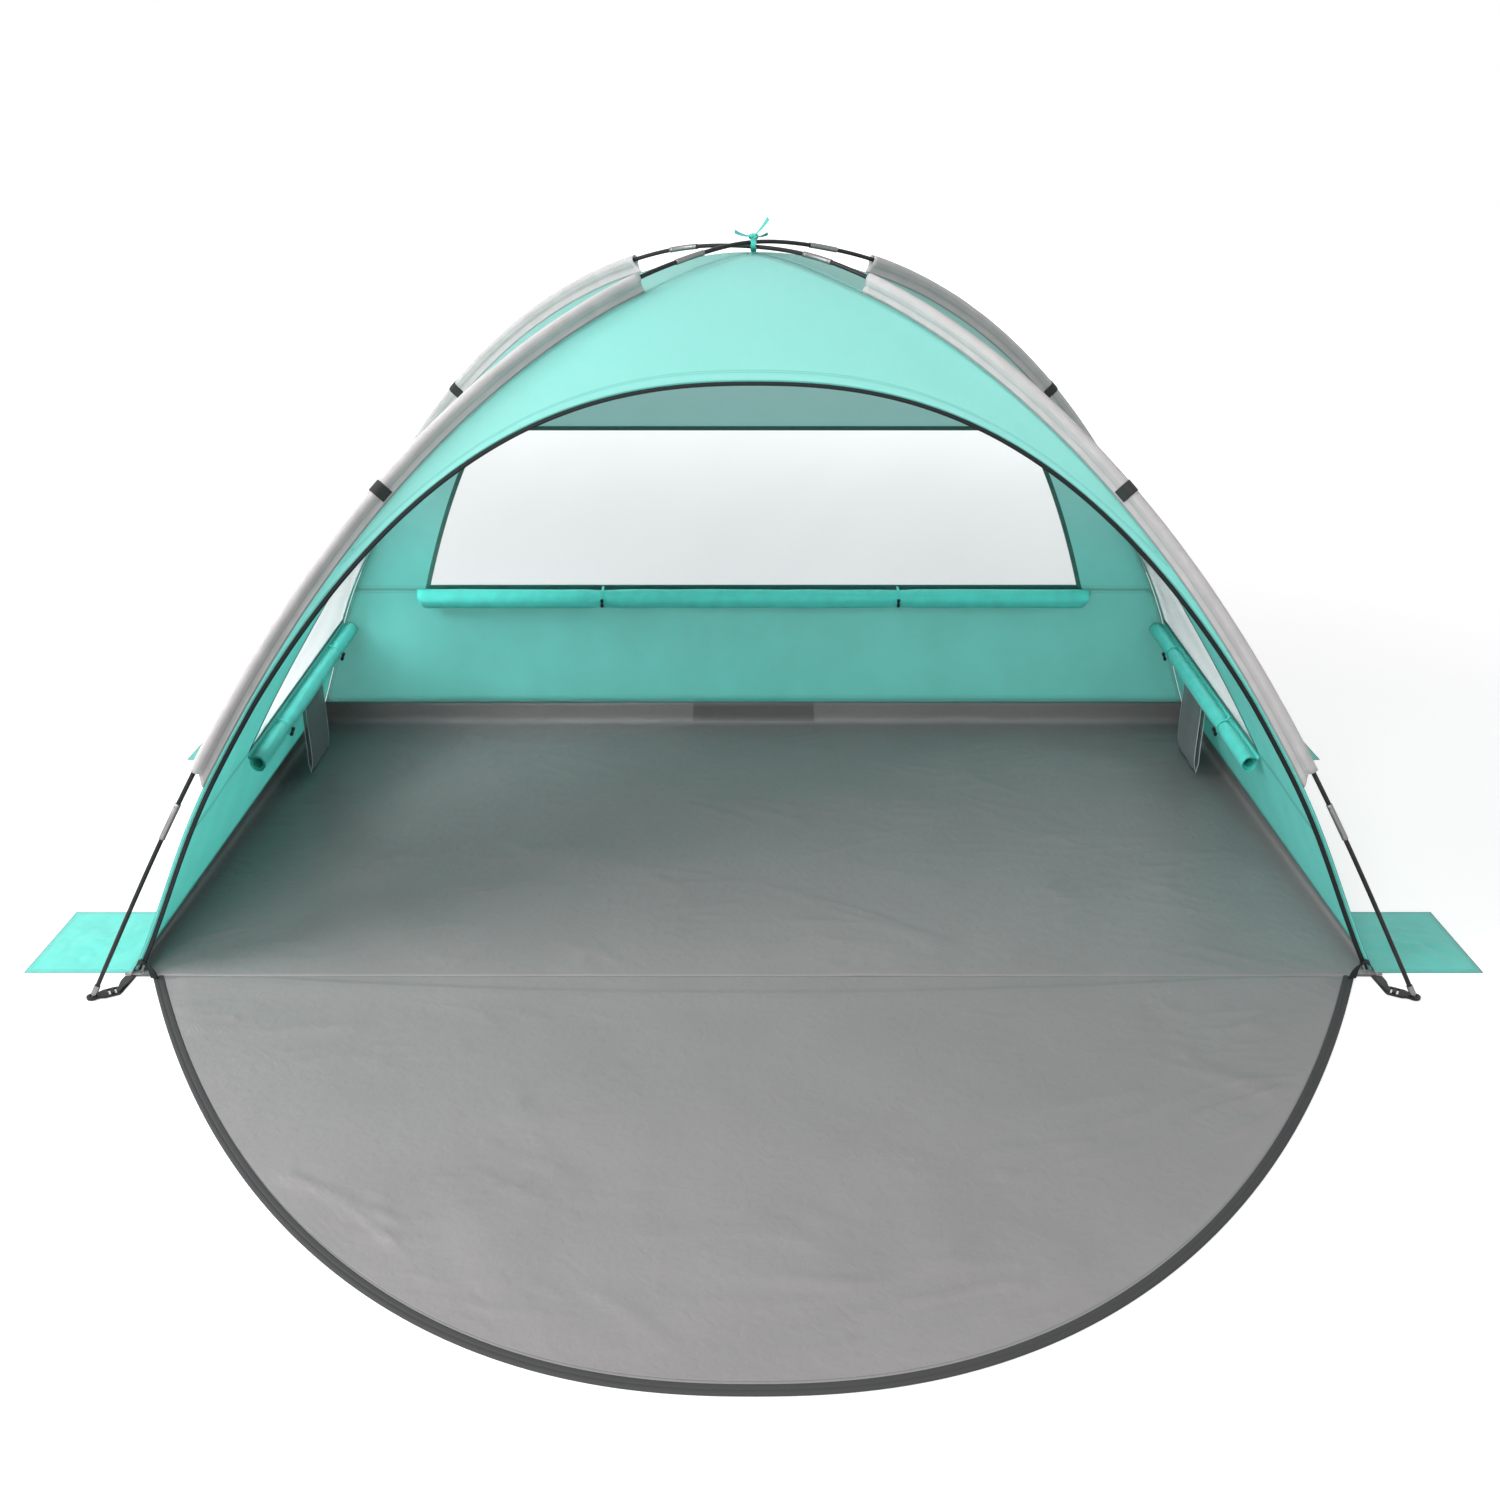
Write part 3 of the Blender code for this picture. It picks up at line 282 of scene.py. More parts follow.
def rod_point(t, side):
    """A point of a whole rod: t is -1 at the front foot on the given side, 1 at the rear foot."""
    p = abs(t)
    join = 0.06
    if p >= join:
        spot = pole_point(p, side, -1) if t < 0 else pole_point(p, -side, 1)
    else:
        first, last = pole_point(join, side, -1), pole_point(join, -side, 1)
        knee = Vector((0, 0, 2 * crossing_height - first.z))
        f = (t / join + 1) / 2
        spot = first * (1 - f) ** 2 + knee * 2 * f * (1 - f) + last * f * f
    spot = spot.copy()
    spot.z -= side * (rod_radius + gap / 2) * (1 - smooth(0, 0.12, p))
    return spot


def ripple(spot, size, seed):
    """Smooth noise between -1 and 1, the same on every run."""
    return noise.noise(Vector(spot) / size + Vector((seed, 0, 0)))


# Settings that a user may change


def length(name, description, default):
    return FloatProperty(
        name=name, description=description, default=default, min=0, unit="LENGTH", precision=5
    )


def colour(name, description, default):
    return FloatVectorProperty(
        name=name, description=description, default=default, subtype="COLOR", min=0, max=1
    )


def number(name, description, default, **more):
    return FloatProperty(name=name, description=description, default=default, **more)


class ClothSettings(bpy.types.PropertyGroup):
    """Cloth of the canopy, floor, mat, sleeves and pockets."""

    canopy: colour("Canopy", "Colour of the canopy cloth low down", (0.115, 0.64, 0.555))
    # The next two colours are light and shade painted into the canopy by height: the back wall turns paler near the
    # top, where light shines through the cloth, the front panel turns to the second colour, and the side walls to a
    # darker copy of it.
    painted_top_light_and_shade: colour("Crown", "Colour of the back wall near the top, where light shines through", (0.40, 0.88, 0.80))
    painted_front_top_light: colour("Brow", "Colour of the front panel and, darker, the side walls near the top", (0.21, 0.61, 0.54))
    sand_pocket: colour("Sand pockets", "Colour of the sand pockets", (0.125, 0.68, 0.585))
    flap: colour("Window flaps", "Colour of the window rolls and, darker, the apex tie", (0.10, 0.86, 0.76))
    floor: colour("Floor", "Colour of the floor and door mat cloth", (0.240, 0.229, 0.230))
    sleeve: colour("Sleeves", "Colour of the pole sleeves", (0.55, 0.535, 0.535))
    window: colour("Windows", "Colour of the window film", (0.83, 0.86, 0.866))
    binding: colour("Window binding", "Colour of the tape sewn round the windows", (0.035, 0.165, 0.135))
    pocket: colour("Inner pocket", "Colour of the inner pockets", (0.24, 0.27, 0.272))
    panel_thickness: length("Panel thickness", "Thickness of the canopy cloth", 0.0007)
    pucker: length("Pucker depth", "How far the canopy cloth waves between its seams", 0.0035)
    floor_crease: length("Floor crease depth", "How far the floor cloth waves", 0.0080)
    weave_pitch: length("Weave pitch", "Distance between threads of the cloth", 0.0008)
    stitch_pitch: length("Stitch pitch", "Length of a stitch and its gap", 0.0036)
    roll_turns: number("Roll turns", "Turns of cloth in a window roll", 2.6)


class FittingSettings(bpy.types.PropertyGroup):
    """Poles, zips, webbing and plastic fittings."""

    rod: colour("Rods", "Colour of the fibreglass rods", (0.012, 0.012, 0.013))
    metal: colour("Metal", "Colour of the ferrules, tips and zip pulls", (0.24, 0.24, 0.24))
    tape: colour("Zip tape", "Colour of the zip tape", (0.012, 0.016, 0.017))
    edging: colour("Mat edging", "Colour of the folded band on the mat's edge", (0.048, 0.048, 0.049))
    webbing: colour("Webbing", "Colour of the straps", (0.012, 0.012, 0.013))
    plastic: colour("Plastic", "Colour of the feet and toggles", (0.012, 0.012, 0.013))
    tooth_pitch: length("Zip pitch", "Distance between turns of the zip coil", 0.0024)
    ferrule_radius: length("Ferrule radius", "Outer radius of a ferrule", 0.0056)
    ferrule_length: length("Ferrule length", "Length of a ferrule", 0.075)
    section: length("Rod length", "Length of one short rod", 0.376)
    rod_points: IntProperty(name="Rod points", description="Points along a rod", default=220)


class StageSettings(bpy.types.PropertyGroup):
    """Camera, ground and light."""

    lens: number("Lens", "Focal length for a 36 mm wide sensor", 36.24)
    camera_distance: length("Camera distance", "Distance in front of the origin", 3.205)
    camera_height: length("Camera height", "Height over the ground", 1.505)
    camera_tilt: number("Camera tilt", "Downward tilt", math.radians(22.2), subtype="ANGLE")
    ground: colour("Ground", "Colour of the ground", (0.80, 0.80, 0.80))
    glow: number("Backdrop", "Brightness that the camera alone sees on the ground by the tent", 0.4)
    sky: number("Sky", "Strength of the even light all round", 0.54)
    key: number("Key light", "Power of the big lamp on the left", 118)
    fill: number("Fill light", "Power of the lamp in front", 118)


# Shaders


def node_group(name, inputs, outputs):
    """An empty shader group: its wiring, what it is given and what it puts out."""
    group = bpy.data.node_groups.new(name, "ShaderNodeTree")
    kinds = {"V": "NodeSocketVector", "F": "NodeSocketFloat"}
    for label, kind, default in inputs:
        socket = group.interface.new_socket(label, in_out="INPUT", socket_type=kinds[kind])
        if default is not None:
            socket.default_value = default
    for label, kind in outputs:
        group.interface.new_socket(label, in_out="OUTPUT", socket_type=kinds[kind])
    return Wiring(group), group.nodes.new("NodeGroupInput").outputs, group.nodes.new("NodeGroupOutput").inputs


class Wiring:
    """Short names for adding nodes to a tree."""

    def __init__(self, tree):
        self.tree = tree

    def link(self, source, socket):
        self.tree.links.new(source, socket)

    def put(self, value, socket):
        if isinstance(value, (int, float, tuple)):
            socket.default_value = value
        else:
            self.link(value, socket)

    def math(self, operation, a, b=None, c=None):
        node = self.tree.nodes.new("ShaderNodeMath")
        node.operation = operation
        for i, value in enumerate((a, b, c)):
            if value is not None:
                self.put(value, node.inputs[i])
        return node.outputs[0]

    def plus(self, a, b):
        return self.math("ADD", a, b)

    def minus(self, a, b):
        return self.math("SUBTRACT", a, b)

    def times(self, a, b):
        return self.math("MULTIPLY", a, b)

    def wave(self, value, pitch):
        return self.math("SINE", self.times(value, 2 * math.pi / pitch))

    def blend(self, share, first, second):
        node = self.tree.nodes.new("ShaderNodeMix")
        node.data_type = "RGBA"
        self.put(share, node.inputs["Factor"])
        for value, label in ((first, "A"), (second, "B")):
            self.put((*value, 1) if isinstance(value, (tuple, Color)) else value, node.inputs[label])
        return node.outputs["Result"]

    def noise(self, vector, scale, detail=3.0, roughness=0.5):
        node = self.tree.nodes.new("ShaderNodeTexNoise")
        self.put(vector, node.inputs["Vector"])
        self.put(scale, node.inputs["Scale"])
        node.inputs["Detail"].default_value = detail
        node.inputs["Roughness"].default_value = roughness
        return node.outputs["Fac"]

    def between(self, value, low, high):
        node = self.tree.nodes.new("ShaderNodeMapRange")
        node.interpolation_type = "SMOOTHSTEP"
        self.put(value, node.inputs["Value"])
        self.put(low, node.inputs["From Min"])
        self.put(high, node.inputs["From Max"])
        return node.outputs["Result"]

    def parts(self, vector):
        node = self.tree.nodes.new("ShaderNodeSeparateXYZ")
        self.link(vector, node.inputs[0])
        return node.outputs

    def object_place(self):
        return self.tree.nodes.new("ShaderNodeTexCoord").outputs["Object"]

    def cloth_place(self):
        node = self.tree.nodes.new("ShaderNodeUVMap")
        node.uv_map = "cloth"
        return node.outputs["UV"]

    def named(self, attribute):
        node = self.tree.nodes.new("ShaderNodeAttribute")
        node.attribute_name = attribute
        return node.outputs["Fac"]

    def group(self, name, **values):
        node = self.tree.nodes.new("ShaderNodeGroup")
        node.node_tree = bpy.data.node_groups[name]
        for label, value in values.items():
            self.put(value, node.inputs[label.replace("_", " ")])
        return node.outputs


def make_weave_group():
    """Plain weave with thick and thin threads and soft creases, on a flat pattern in metres."""
    inputs = [("Pattern", "V", None), ("Pitch", "F", 0.0008), ("Thread", "F", 0.00004)]
    inputs += [("Crease Scale", "F", 9.0), ("Crease", "F", 0.0012), ("Fine Crease", "F", 0.0002)]
    w, given, out = node_group("plain weave", inputs, [("Height", "F"), ("Shade", "F")])
    x, y, _ = w.parts(given["Pattern"])
    turn = w.math("DIVIDE", 2 * math.pi, given["Pitch"])
    warp = w.math("SINE", w.times(x, turn))
    weft = w.math("SINE", w.times(y, turn))
    weave = w.times(w.times(warp, weft), given["Thread"])
    soft = w.noise(given["Pattern"], given["Crease Scale"], 2.0, 0.45)
    fine = w.noise(given["Pattern"], w.times(given["Crease Scale"], 6.0), 3.0, 0.55)
    sharp = w.math("ABSOLUTE", w.minus(fine, 0.5))
    height = w.plus(weave, w.times(soft, given["Crease"]))
    height = w.plus(height, w.times(sharp, given["Fine Crease"]))
    w.link(height, out["Height"])
    # Shade follows the soft creases, so the colour made from it is darker in their hollows (painted shade); it also
    # varies with the threads.
    threads = w.noise(given["Pattern"], 700.0, 1.0)
    shade = w.plus(w.times(soft, 0.6), w.times(threads, 0.4))
    w.link(shade, out["Shade"])


def make_stitch_group():
    """A row of stitches at a set distance from a seam."""
    inputs = [("Distance", "F", 1.0), ("Along", "F", 0.0), ("Offset", "F", 0.004)]
    inputs += [("Pitch", "F", 0.0036), ("Thread", "F", 0.0005)]
    w, given, out = node_group("stitch row", inputs, [("Mask", "F"), ("Fold", "F")])
    away = w.math("ABSOLUTE", w.minus(given["Distance"], given["Offset"]))
    line = w.math("LESS_THAN", away, given["Thread"])
    step = w.math("FRACT", w.math("DIVIDE", given["Along"], given["Pitch"]))
    w.link(w.times(line, w.math("LESS_THAN", step, 0.72)), out["Mask"])
    # Fold is 1 on the stitch line and falls to 0 over 3 mm; cloth_finish dents the cloth with it and paints shade
    # into it.
    w.link(w.minus(1.0, w.between(away, 0.0, 0.003)), out["Fold"])


def make_wear_group():
    """Fine grain and dust for plastic and metal."""
    inputs = [("Place", "V", None), ("Grain Scale", "F", 900.0), ("Dust", "F", 0.15)]
    w, given, out = node_group("grain and dust", inputs, [("Height", "F"), ("Dust", "F")])
    grain = w.noise(given["Place"], given["Grain Scale"], 2.0)
    patch = w.noise(given["Place"], 55.0, 4.0, 0.6)
    w.link(w.times(grain, 0.00004), out["Height"])
    dusty = w.times(w.between(patch, 0.45, 0.75), given["Dust"])
    w.link(dusty, out["Dust"])


def finish(name, roughness, metallic=0.0, sheen=0.0, coat=0.0, subsurface=0.0):
    """A material with one Principled shader, its wiring and the shader."""
    material = bpy.data.materials.new(name)
    material.use_nodes = True
    shader = material.node_tree.nodes["Principled BSDF"]
    shader.inputs["Roughness"].default_value = roughness
    shader.inputs["Metallic"].default_value = metallic
    shader.inputs["Sheen Weight"].default_value = sheen
    shader.inputs["Coat Weight"].default_value = coat
    if subsurface:
        shader.inputs["Subsurface Weight"].default_value = subsurface
        shader.inputs["Subsurface Scale"].default_value = 0.004
        shader.inputs["Subsurface Radius"].default_value = (1.0, 1.0, 1.0)
    return material, Wiring(material.node_tree), shader


def shaded(tone, share):
    """A colour made lighter or darker."""
    return tuple(min(c * share, 1) for c in tone)


def bump(w, shader, height):
    node = w.tree.nodes.new("ShaderNodeBump")
    node.inputs["Strength"].default_value = 1.0
    node.inputs["Distance"].default_value = 1.0
    w.link(height, node.inputs["Height"])
    w.link(node.outputs["Normal"], shader.inputs["Normal"])


def cloth_finish(name, tone, roughness, crease=0.0012, crease_scale=9.0, fine=0.0002, thread=0.00004,
                 stitches=(), darker=0.86, sheen=0.15, subsurface=0.0, coat=0.0, patch=1.0, painted_top_light_and_shade=None):
    """Woven cloth with soft creases, darker in their hollows as painted shade, uneven dye in its threads, and rows
    of stitches beside its seams.

    Higher up it turns to the given top tone, light and shade painted by height; where the binding mask is set it is
    darker by patch, which on the floor is painted shade and shadow.
    """
    material, w, shader = finish(name, roughness, sheen=sheen, subsurface=subsurface, coat=coat)
    cloths = bpy.context.scene.tent_cloth
    pattern = w.cloth_place()
    weave = w.group("plain weave", Pattern=pattern, Pitch=cloths.weave_pitch, Thread=thread,
                    Crease_Scale=crease_scale, Crease=crease, Fine_Crease=fine)
    # Darker where the soft creases dip: painted shade, with uneven thread tone.
    shade = w.blend(w.between(weave["Shade"], 0.3, 0.7), shaded(tone, darker), tone)
    # Towards the top the colour turns to the top tone: light and shade painted by height.
    if painted_top_light_and_shade is not None:
        shade = w.blend(w.between(w.parts(w.object_place())[2], 0.35, 1.05), shade, painted_top_light_and_shade)
    height = weave["Height"]
    if stitches:
        seam, along, thread_and_fold_shade_tone = w.named("seam"), w.named("run"), shaded(tone, 0.62)
        for offset in stitches:
            row = w.group("stitch row", Distance=seam, Along=along, Offset=offset, Pitch=cloths.stitch_pitch)
            # Each row darkens the cloth twice: a 3 mm band round it as painted shade in the fold the stitches pull
            # in, and the thread itself, whose colour is darker.
            for part, share in (("Fold", 0.22), ("Mask", 0.8)):
                shade = w.blend(w.times(row[part], share), shade, thread_and_fold_shade_tone)
            height = w.minus(height, w.times(row["Fold"], 0.0004))
            height = w.plus(height, w.times(row["Mask"], 0.0003))
        # Darker within about 2 mm of a seam, fading out by 4 mm: painted shade in the seam's crease.
        shade = w.blend(w.minus(1.0, w.between(w.named("seam"), 0.0020, 0.0042)), shade, shaded(tone, 0.55))
    # Only the floor sets patch: its binding mask carries painted shade on the side skirts and the painted shadow of
    # the back sand pocket.
    if patch < 1:
        shade = w.blend(w.named("binding"), shade, shaded(tone, patch))
    w.link(shade, shader.inputs["Base Color"])
    bump(w, shader, height)
    return material


def hard_finish(name, tone, roughness, dust, metallic=0.0, coat=0.0, dust_tone=(0.45, 0.42, 0.38)):
    """Plastic, fibreglass or metal with grain and dust."""
    material, w, shader = finish(name, roughness, metallic=metallic, coat=coat)
    if not metallic:
        shader.inputs["Specular IOR Level"].default_value = 0.22
    place = w.object_place()
    wear = w.group("grain and dust", Place=place, Dust=dust)
    w.link(w.blend(wear["Dust"], tone, dust_tone), shader.inputs["Base Color"])
    rough = w.plus(roughness, w.times(wear["Dust"], 0.6))
    w.link(rough, shader.inputs["Roughness"])
    bump(w, shader, wear["Height"])
    return material


def zip_finish(name, tone, pitch, coil_from, coil_to):
    """Zip tape: herringbone tape, then a coil whose turns cross the band between two widths."""
    material, w, shader = finish(name, 0.7)
    shader.inputs["Specular IOR Level"].default_value = 0.2
    pattern = w.cloth_place()
    x, y, _ = w.parts(pattern)
    twill = w.wave(w.plus(x, w.math("ABSOLUTE", w.minus(y, 0.004))), 0.0014)
    in_coil = w.times(w.math("GREATER_THAN", y, coil_from), w.math("LESS_THAN", y, coil_to))
    turns = w.wave(w.plus(x, w.times(y, 0.25)), pitch)
    height = w.plus(w.times(twill, 0.00005), w.times(w.times(turns, in_coil), 0.0004))
    light = shaded(tone, 1.35)
    shade = w.blend(w.times(w.noise(pattern, 420.0, 2.0), 0.5), tone, light)
    # The coil's turns are darker in their troughs and lighter on their crests: painted shade and highlight.
    painted_coil_shade_and_highlight = w.blend(w.between(turns, -0.6, 0.8), shaded(tone, 0.5), light)
    w.link(w.blend(in_coil, shade, painted_coil_shade_and_highlight), shader.inputs["Base Color"])
    bump(w, shader, height)
    return material


def webbing_finish(name, tone, rib):
    """Ribbed webbing with pale lint."""
    material, w, shader = finish(name, 0.75, sheen=0.06)
    pattern = w.cloth_place()
    x, y, _ = w.parts(pattern)
    height = w.plus(w.times(w.wave(x, rib), 0.00016), w.times(w.wave(y, 0.0011), 0.00008))
    lint = w.noise(pattern, 500.0, 3.0)
    pale = tuple(min(c * 1.8 + 0.004, 1) for c in tone)
    w.link(w.blend(w.between(lint, 0.5, 0.85), tone, pale), shader.inputs["Base Color"])
    bump(w, shader, height)
    return material


def film_finish(name, tone):
    """Frosted window film that lets the light behind it through."""
    material, w, shader = finish(name, 0.55)
    shader.inputs["IOR"].default_value = 1.03
    shader.inputs["Transmission Weight"].default_value = 0.92
    pattern = w.cloth_place()
    weave = w.group("plain weave", Pattern=pattern, Thread=0.00003, Crease_Scale=5.0, Crease=0.0016)
    # Slightly darker where the film's creases dip: painted shade.
    shade = w.blend(w.between(weave["Shade"], 0.3, 0.7), shaded(tone, 0.97), tone)
    w.link(shade, shader.inputs["Base Color"])
    bump(w, shader, weave["Height"])
    return material


def mesh_finish(name, tone):
    """Fine see-through net with a paler hem."""
    material, w, shader = finish(name, 0.7, sheen=0.2)
    pattern = w.cloth_place()
    x, y, _ = w.parts(pattern)
    holes = w.times(w.wave(x, 0.0016), w.wave(y, 0.0016))
    hem = w.math("LESS_THAN", w.named("seam"), 0.0035)
    w.link(w.blend(hem, tone, shaded(tone, 2.6)), shader.inputs["Base Color"])
    solid = w.math("MAXIMUM", w.times(hem, 0.95), w.plus(0.55, w.times(holes, 0.16)))
    w.link(solid, shader.inputs["Alpha"])
    bump(w, shader, w.times(holes, 0.0001))
    return material


@functools.lru_cache(maxsize=None)
def finishes():
    """All the tent's materials, made once from the settings."""
    cloths, fittings = bpy.context.scene.tent_cloth, bpy.context.scene.tent_fittings
    make_weave_group()
    make_stitch_group()
    make_wear_group()
    canopy = {"crease": 0.0016, "crease_scale": 7.0, "sheen": 0.04, "subsurface": 1.0, "stitches": (0.004, 0.0085)}
    front = canopy | {"crease": 0.0014, "stitches": (0.020, 0.024)}
    floor = {"crease": 0.0045, "crease_scale": 4.5, "fine": 0.0030, "stitches": (0.005, 0.010), "darker": 0.93}
    sleeve = {"crease": 0.0030, "crease_scale": 22.0, "fine": 0.0008, "stitches": (0.0150, 0.0185)}
    sand = {"crease": 0.003, "crease_scale": 14.0, "fine": 0.0009, "stitches": (0.006, 0.010), "subsurface": 0.4}
    flap = {"crease": 0.001, "crease_scale": 30.0, "fine": 0.0004, "stitches": (0.004,)}
    apex = {"crease": 0.0008, "crease_scale": 70.0, "fine": 0.0003}
    dark, grey = (0.03, 0.03, 0.031), (0.3, 0.29, 0.28)
    pitch = fittings.tooth_pitch
    return {
        # The canopy's top tones are painted light and shade: paler on the back wall and the front panel, darker on
        # the side walls.
        "canopy": cloth_finish("canopy polyester", cloths.canopy, 0.6, painted_top_light_and_shade=cloths.painted_top_light_and_shade, **canopy),
        "side canopy": cloth_finish("side canopy polyester", cloths.canopy, 0.6,
                                    painted_top_light_and_shade=shaded(cloths.painted_front_top_light, 0.68), **canopy),
        "valance": cloth_finish("canopy front polyester", cloths.canopy, 0.6, painted_top_light_and_shade=cloths.painted_front_top_light, **front),
        "flap": cloth_finish("flap polyester", cloths.flap, 0.55, **flap),
        # patch darkens the floor's skirts: painted shade and shadow.
        "floor": cloth_finish("floor coated polyester", cloths.floor, 0.5, sheen=0.05, coat=0.08, patch=0.55,
                              **floor),
        "sleeve": cloth_finish("sleeve polyester", cloths.sleeve, 0.9, sheen=0.02, subsurface=0.8, **sleeve),
        "sand pocket": cloth_finish("sand pocket polyester", cloths.sand_pocket, 0.6, **sand),
        "tie": cloth_finish("tie strip", cloths.flap, 0.6, crease=0.0006, crease_scale=60.0),
        "apex": cloth_finish("apex strip", shaded(cloths.flap, 0.58), 0.6, **apex),
        "patch": cloth_finish("corner patch", (0.34, 0.34, 0.34), 0.6, stitches=(0.003,)),
        "window": film_finish("window film", cloths.window),
        # The side windows' film is a lighter copy of the back window's: painted light for the light the film gets at
        # its angle.
        "side window": film_finish("side window film", shaded(cloths.window, 1.15)),
        "binding": cloth_finish("window binding", cloths.binding, 0.6, crease_scale=30.0),
        "pocket": mesh_finish("inner pocket net", cloths.pocket),
        "arch tape": zip_finish("doorway zip", fittings.tape, pitch, 0.0052, 0.0092),
        "mat tape": zip_finish("mat zip and band", fittings.edging, pitch, -1.0, -0.9),
        "webbing": webbing_finish("corner webbing", fittings.webbing, 0.0016),
        "band": webbing_finish("hook and loop band", fittings.webbing, 0.0026),
        "rod": hard_finish("fibreglass", fittings.rod, 0.34, 0.02, coat=0.03),
        "plastic": hard_finish("moulded plastic", fittings.plastic, 0.42, 0.03),
        "dark metal": hard_finish("painted metal", dark, 0.35, 0.08, metallic=0.3, coat=0.2),
        "metal": hard_finish("plated metal", fittings.metal, 0.46, 0.10, metallic=1.0, dust_tone=grey),
    }


# Pieces


def place_piece(piece, body, stands_for=()):
    bpy.context.collection.objects.link(piece)
    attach(piece, body)
    if stands_for:
        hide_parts(*stands_for)
    return piece


masks = ("seam", "run", "binding")
least_share = 0.31


def cloth_grid(columns, rows, place, is_open=None):
    """A grid carried to its place: place gives a point, its flat pattern spot, and other values."""
    bm = bmesh.new()
    bmesh.ops.create_grid(bm, x_segments=columns - 1, y_segments=rows - 1, size=0.5)
    for vert in bm.verts:
        vert.co.x = round((vert.co.x + 0.5) * (columns - 1))
        vert.co.y = round((vert.co.y + 0.5) * (rows - 1))
    if is_open:
        cells = [face for face in bm.faces if is_open(*map(int, face.calc_center_median()[:2]))]
        bmesh.ops.delete(bm, geom=cells, context="FACES")
    flat = bm.loops.layers.uv.new("cloth")
    for label in masks:
        bm.verts.layers.float.new(label)
    layers = {label: bm.verts.layers.float[label] for label in masks}
    for vert in bm.verts:
        point, pattern, values = place(round(vert.co.x), round(vert.co.y))
        vert.co = point
        for label, value in values.items():
            vert[layers[label]] = value
        for loop in vert.link_loops:
            loop[flat].uv = pattern
    return bm


def mesh_object(name, bm, look, thickness=0.0, offset=0.0):
    """An object of a finished mesh, thickened evenly where a thickness is given."""
    mesh = bpy.data.meshes.new(name)
    bm.to_mesh(mesh)
    bm.free()
    for face in mesh.polygons:
        face.use_smooth = True
    mesh.materials.append(finishes()[look])
    piece = bpy.data.objects.new(name, mesh)
    if thickness:
        modifier = piece.modifiers.new("cloth thickness", "SOLIDIFY")
        modifier.thickness = thickness
        modifier.offset = offset
    return piece


def cloth_piece(name, bm, look, thickness, stands_for=(), facing=None, body="tent", held=None):
    """Turn a grid into a thin cloth whose outer side faces away from a point.

    If held is given, a width and a height are worked out from the pattern and the built cloth's own area, not the
    pattern's, and nothing uses them. Two declared values don't describe a real cut.
    """
    bmesh.ops.remove_doubles(bm, verts=bm.verts[:], dist=0.00001)
    if facing is not None and sum(face.normal.dot(face.calc_center_median() - facing) for face in bm.faces) < 0:
        bmesh.ops.reverse_faces(bm, faces=bm.faces[:])
    flat = bm.loops.layers.uv["cloth"]
    us, vs = zip(*(loop[flat].uv for face in bm.faces for loop in face.loops))
    area = sum(face.calc_area() for face in bm.faces)
    piece = place_piece(mesh_object(name, bm, look, thickness, -1), body, stands_for)
    if held:
        wide, tall = max(us) - min(us), max(vs) - min(vs)
        tall = max(tall, area / wide)
        if area < least_share * wide * tall:
            tall = area / least_share / wide
    return piece


def eased(path, i, t):
    """A point of a smooth path, a share t of the way from its point i to the next."""
    lead = (path[i + 1] - path[max(i - 1, 0)]) / 2
    trail = (path[min(i + 2, len(path) - 1)] - path[i]) / 2
    h = (2 * t ** 3 - 3 * t ** 2 + 1, t ** 3 - 2 * t ** 2 + t, 3 * t ** 2 - 2 * t ** 3, t ** 3 - t ** 2)
    return path[i] * h[0] + lead * h[1] * 0.6 + path[i + 1] * h[2] + trail * h[3] * 0.6


def strap(name, path, sides, width, thickness, look, stands_for=(), steps=4, lift=None):
    """A flat strap along a smooth path; sides are its width directions."""
    places = [(i, k / steps) for i in range(len(path) - 1) for k in range(steps)]
    points = [eased(path, i, t) for i, t in places] + [path[-1]]
    wides = [mix(sides[i], sides[i + 1], t).normalized() for i, t in places] + [sides[-1]]
    run = running(points)

    def place(column, row):
        across = column / 6 - 0.5
        spot = points[row] + wides[row] * width * across
        if lift:
            spot = spot + lift(row / (len(points) - 1), across)
        return spot, (run[row], width * across), {"seam": width * (0.5 - abs(across)), "run": run[row]}

    piece = mesh_object(name, cloth_grid(7, len(points), place), look, thickness)
    return place_piece(piece, "tent", stands_for)


centre = Vector((0, 0, seam_aim * crossing_height))


def edge_fade(*distances):
    """0 at a sewn edge and 1 well inside the cloth."""
    return smooth(0, 0.12, min(distances))


def opening(panel, q):
    """The level of a window beside a row, and where its two side edges are there."""
    top, sill = window_rows[panel]
    level = min(max(q, top), sill)
    share = (level - top) / (sill - top)
    edges = (mix(window_tops[panel][i], window_sills[panel][i], share) for i in (0, 1))
    return level, *edges


corners = tuple(
    (side, end, end_name + "_" + side_name)
    for side, side_name in ((-1, "left"), (1, "right"))
    for end, end_name in ((-1, "front"), (1, "rear"))
)


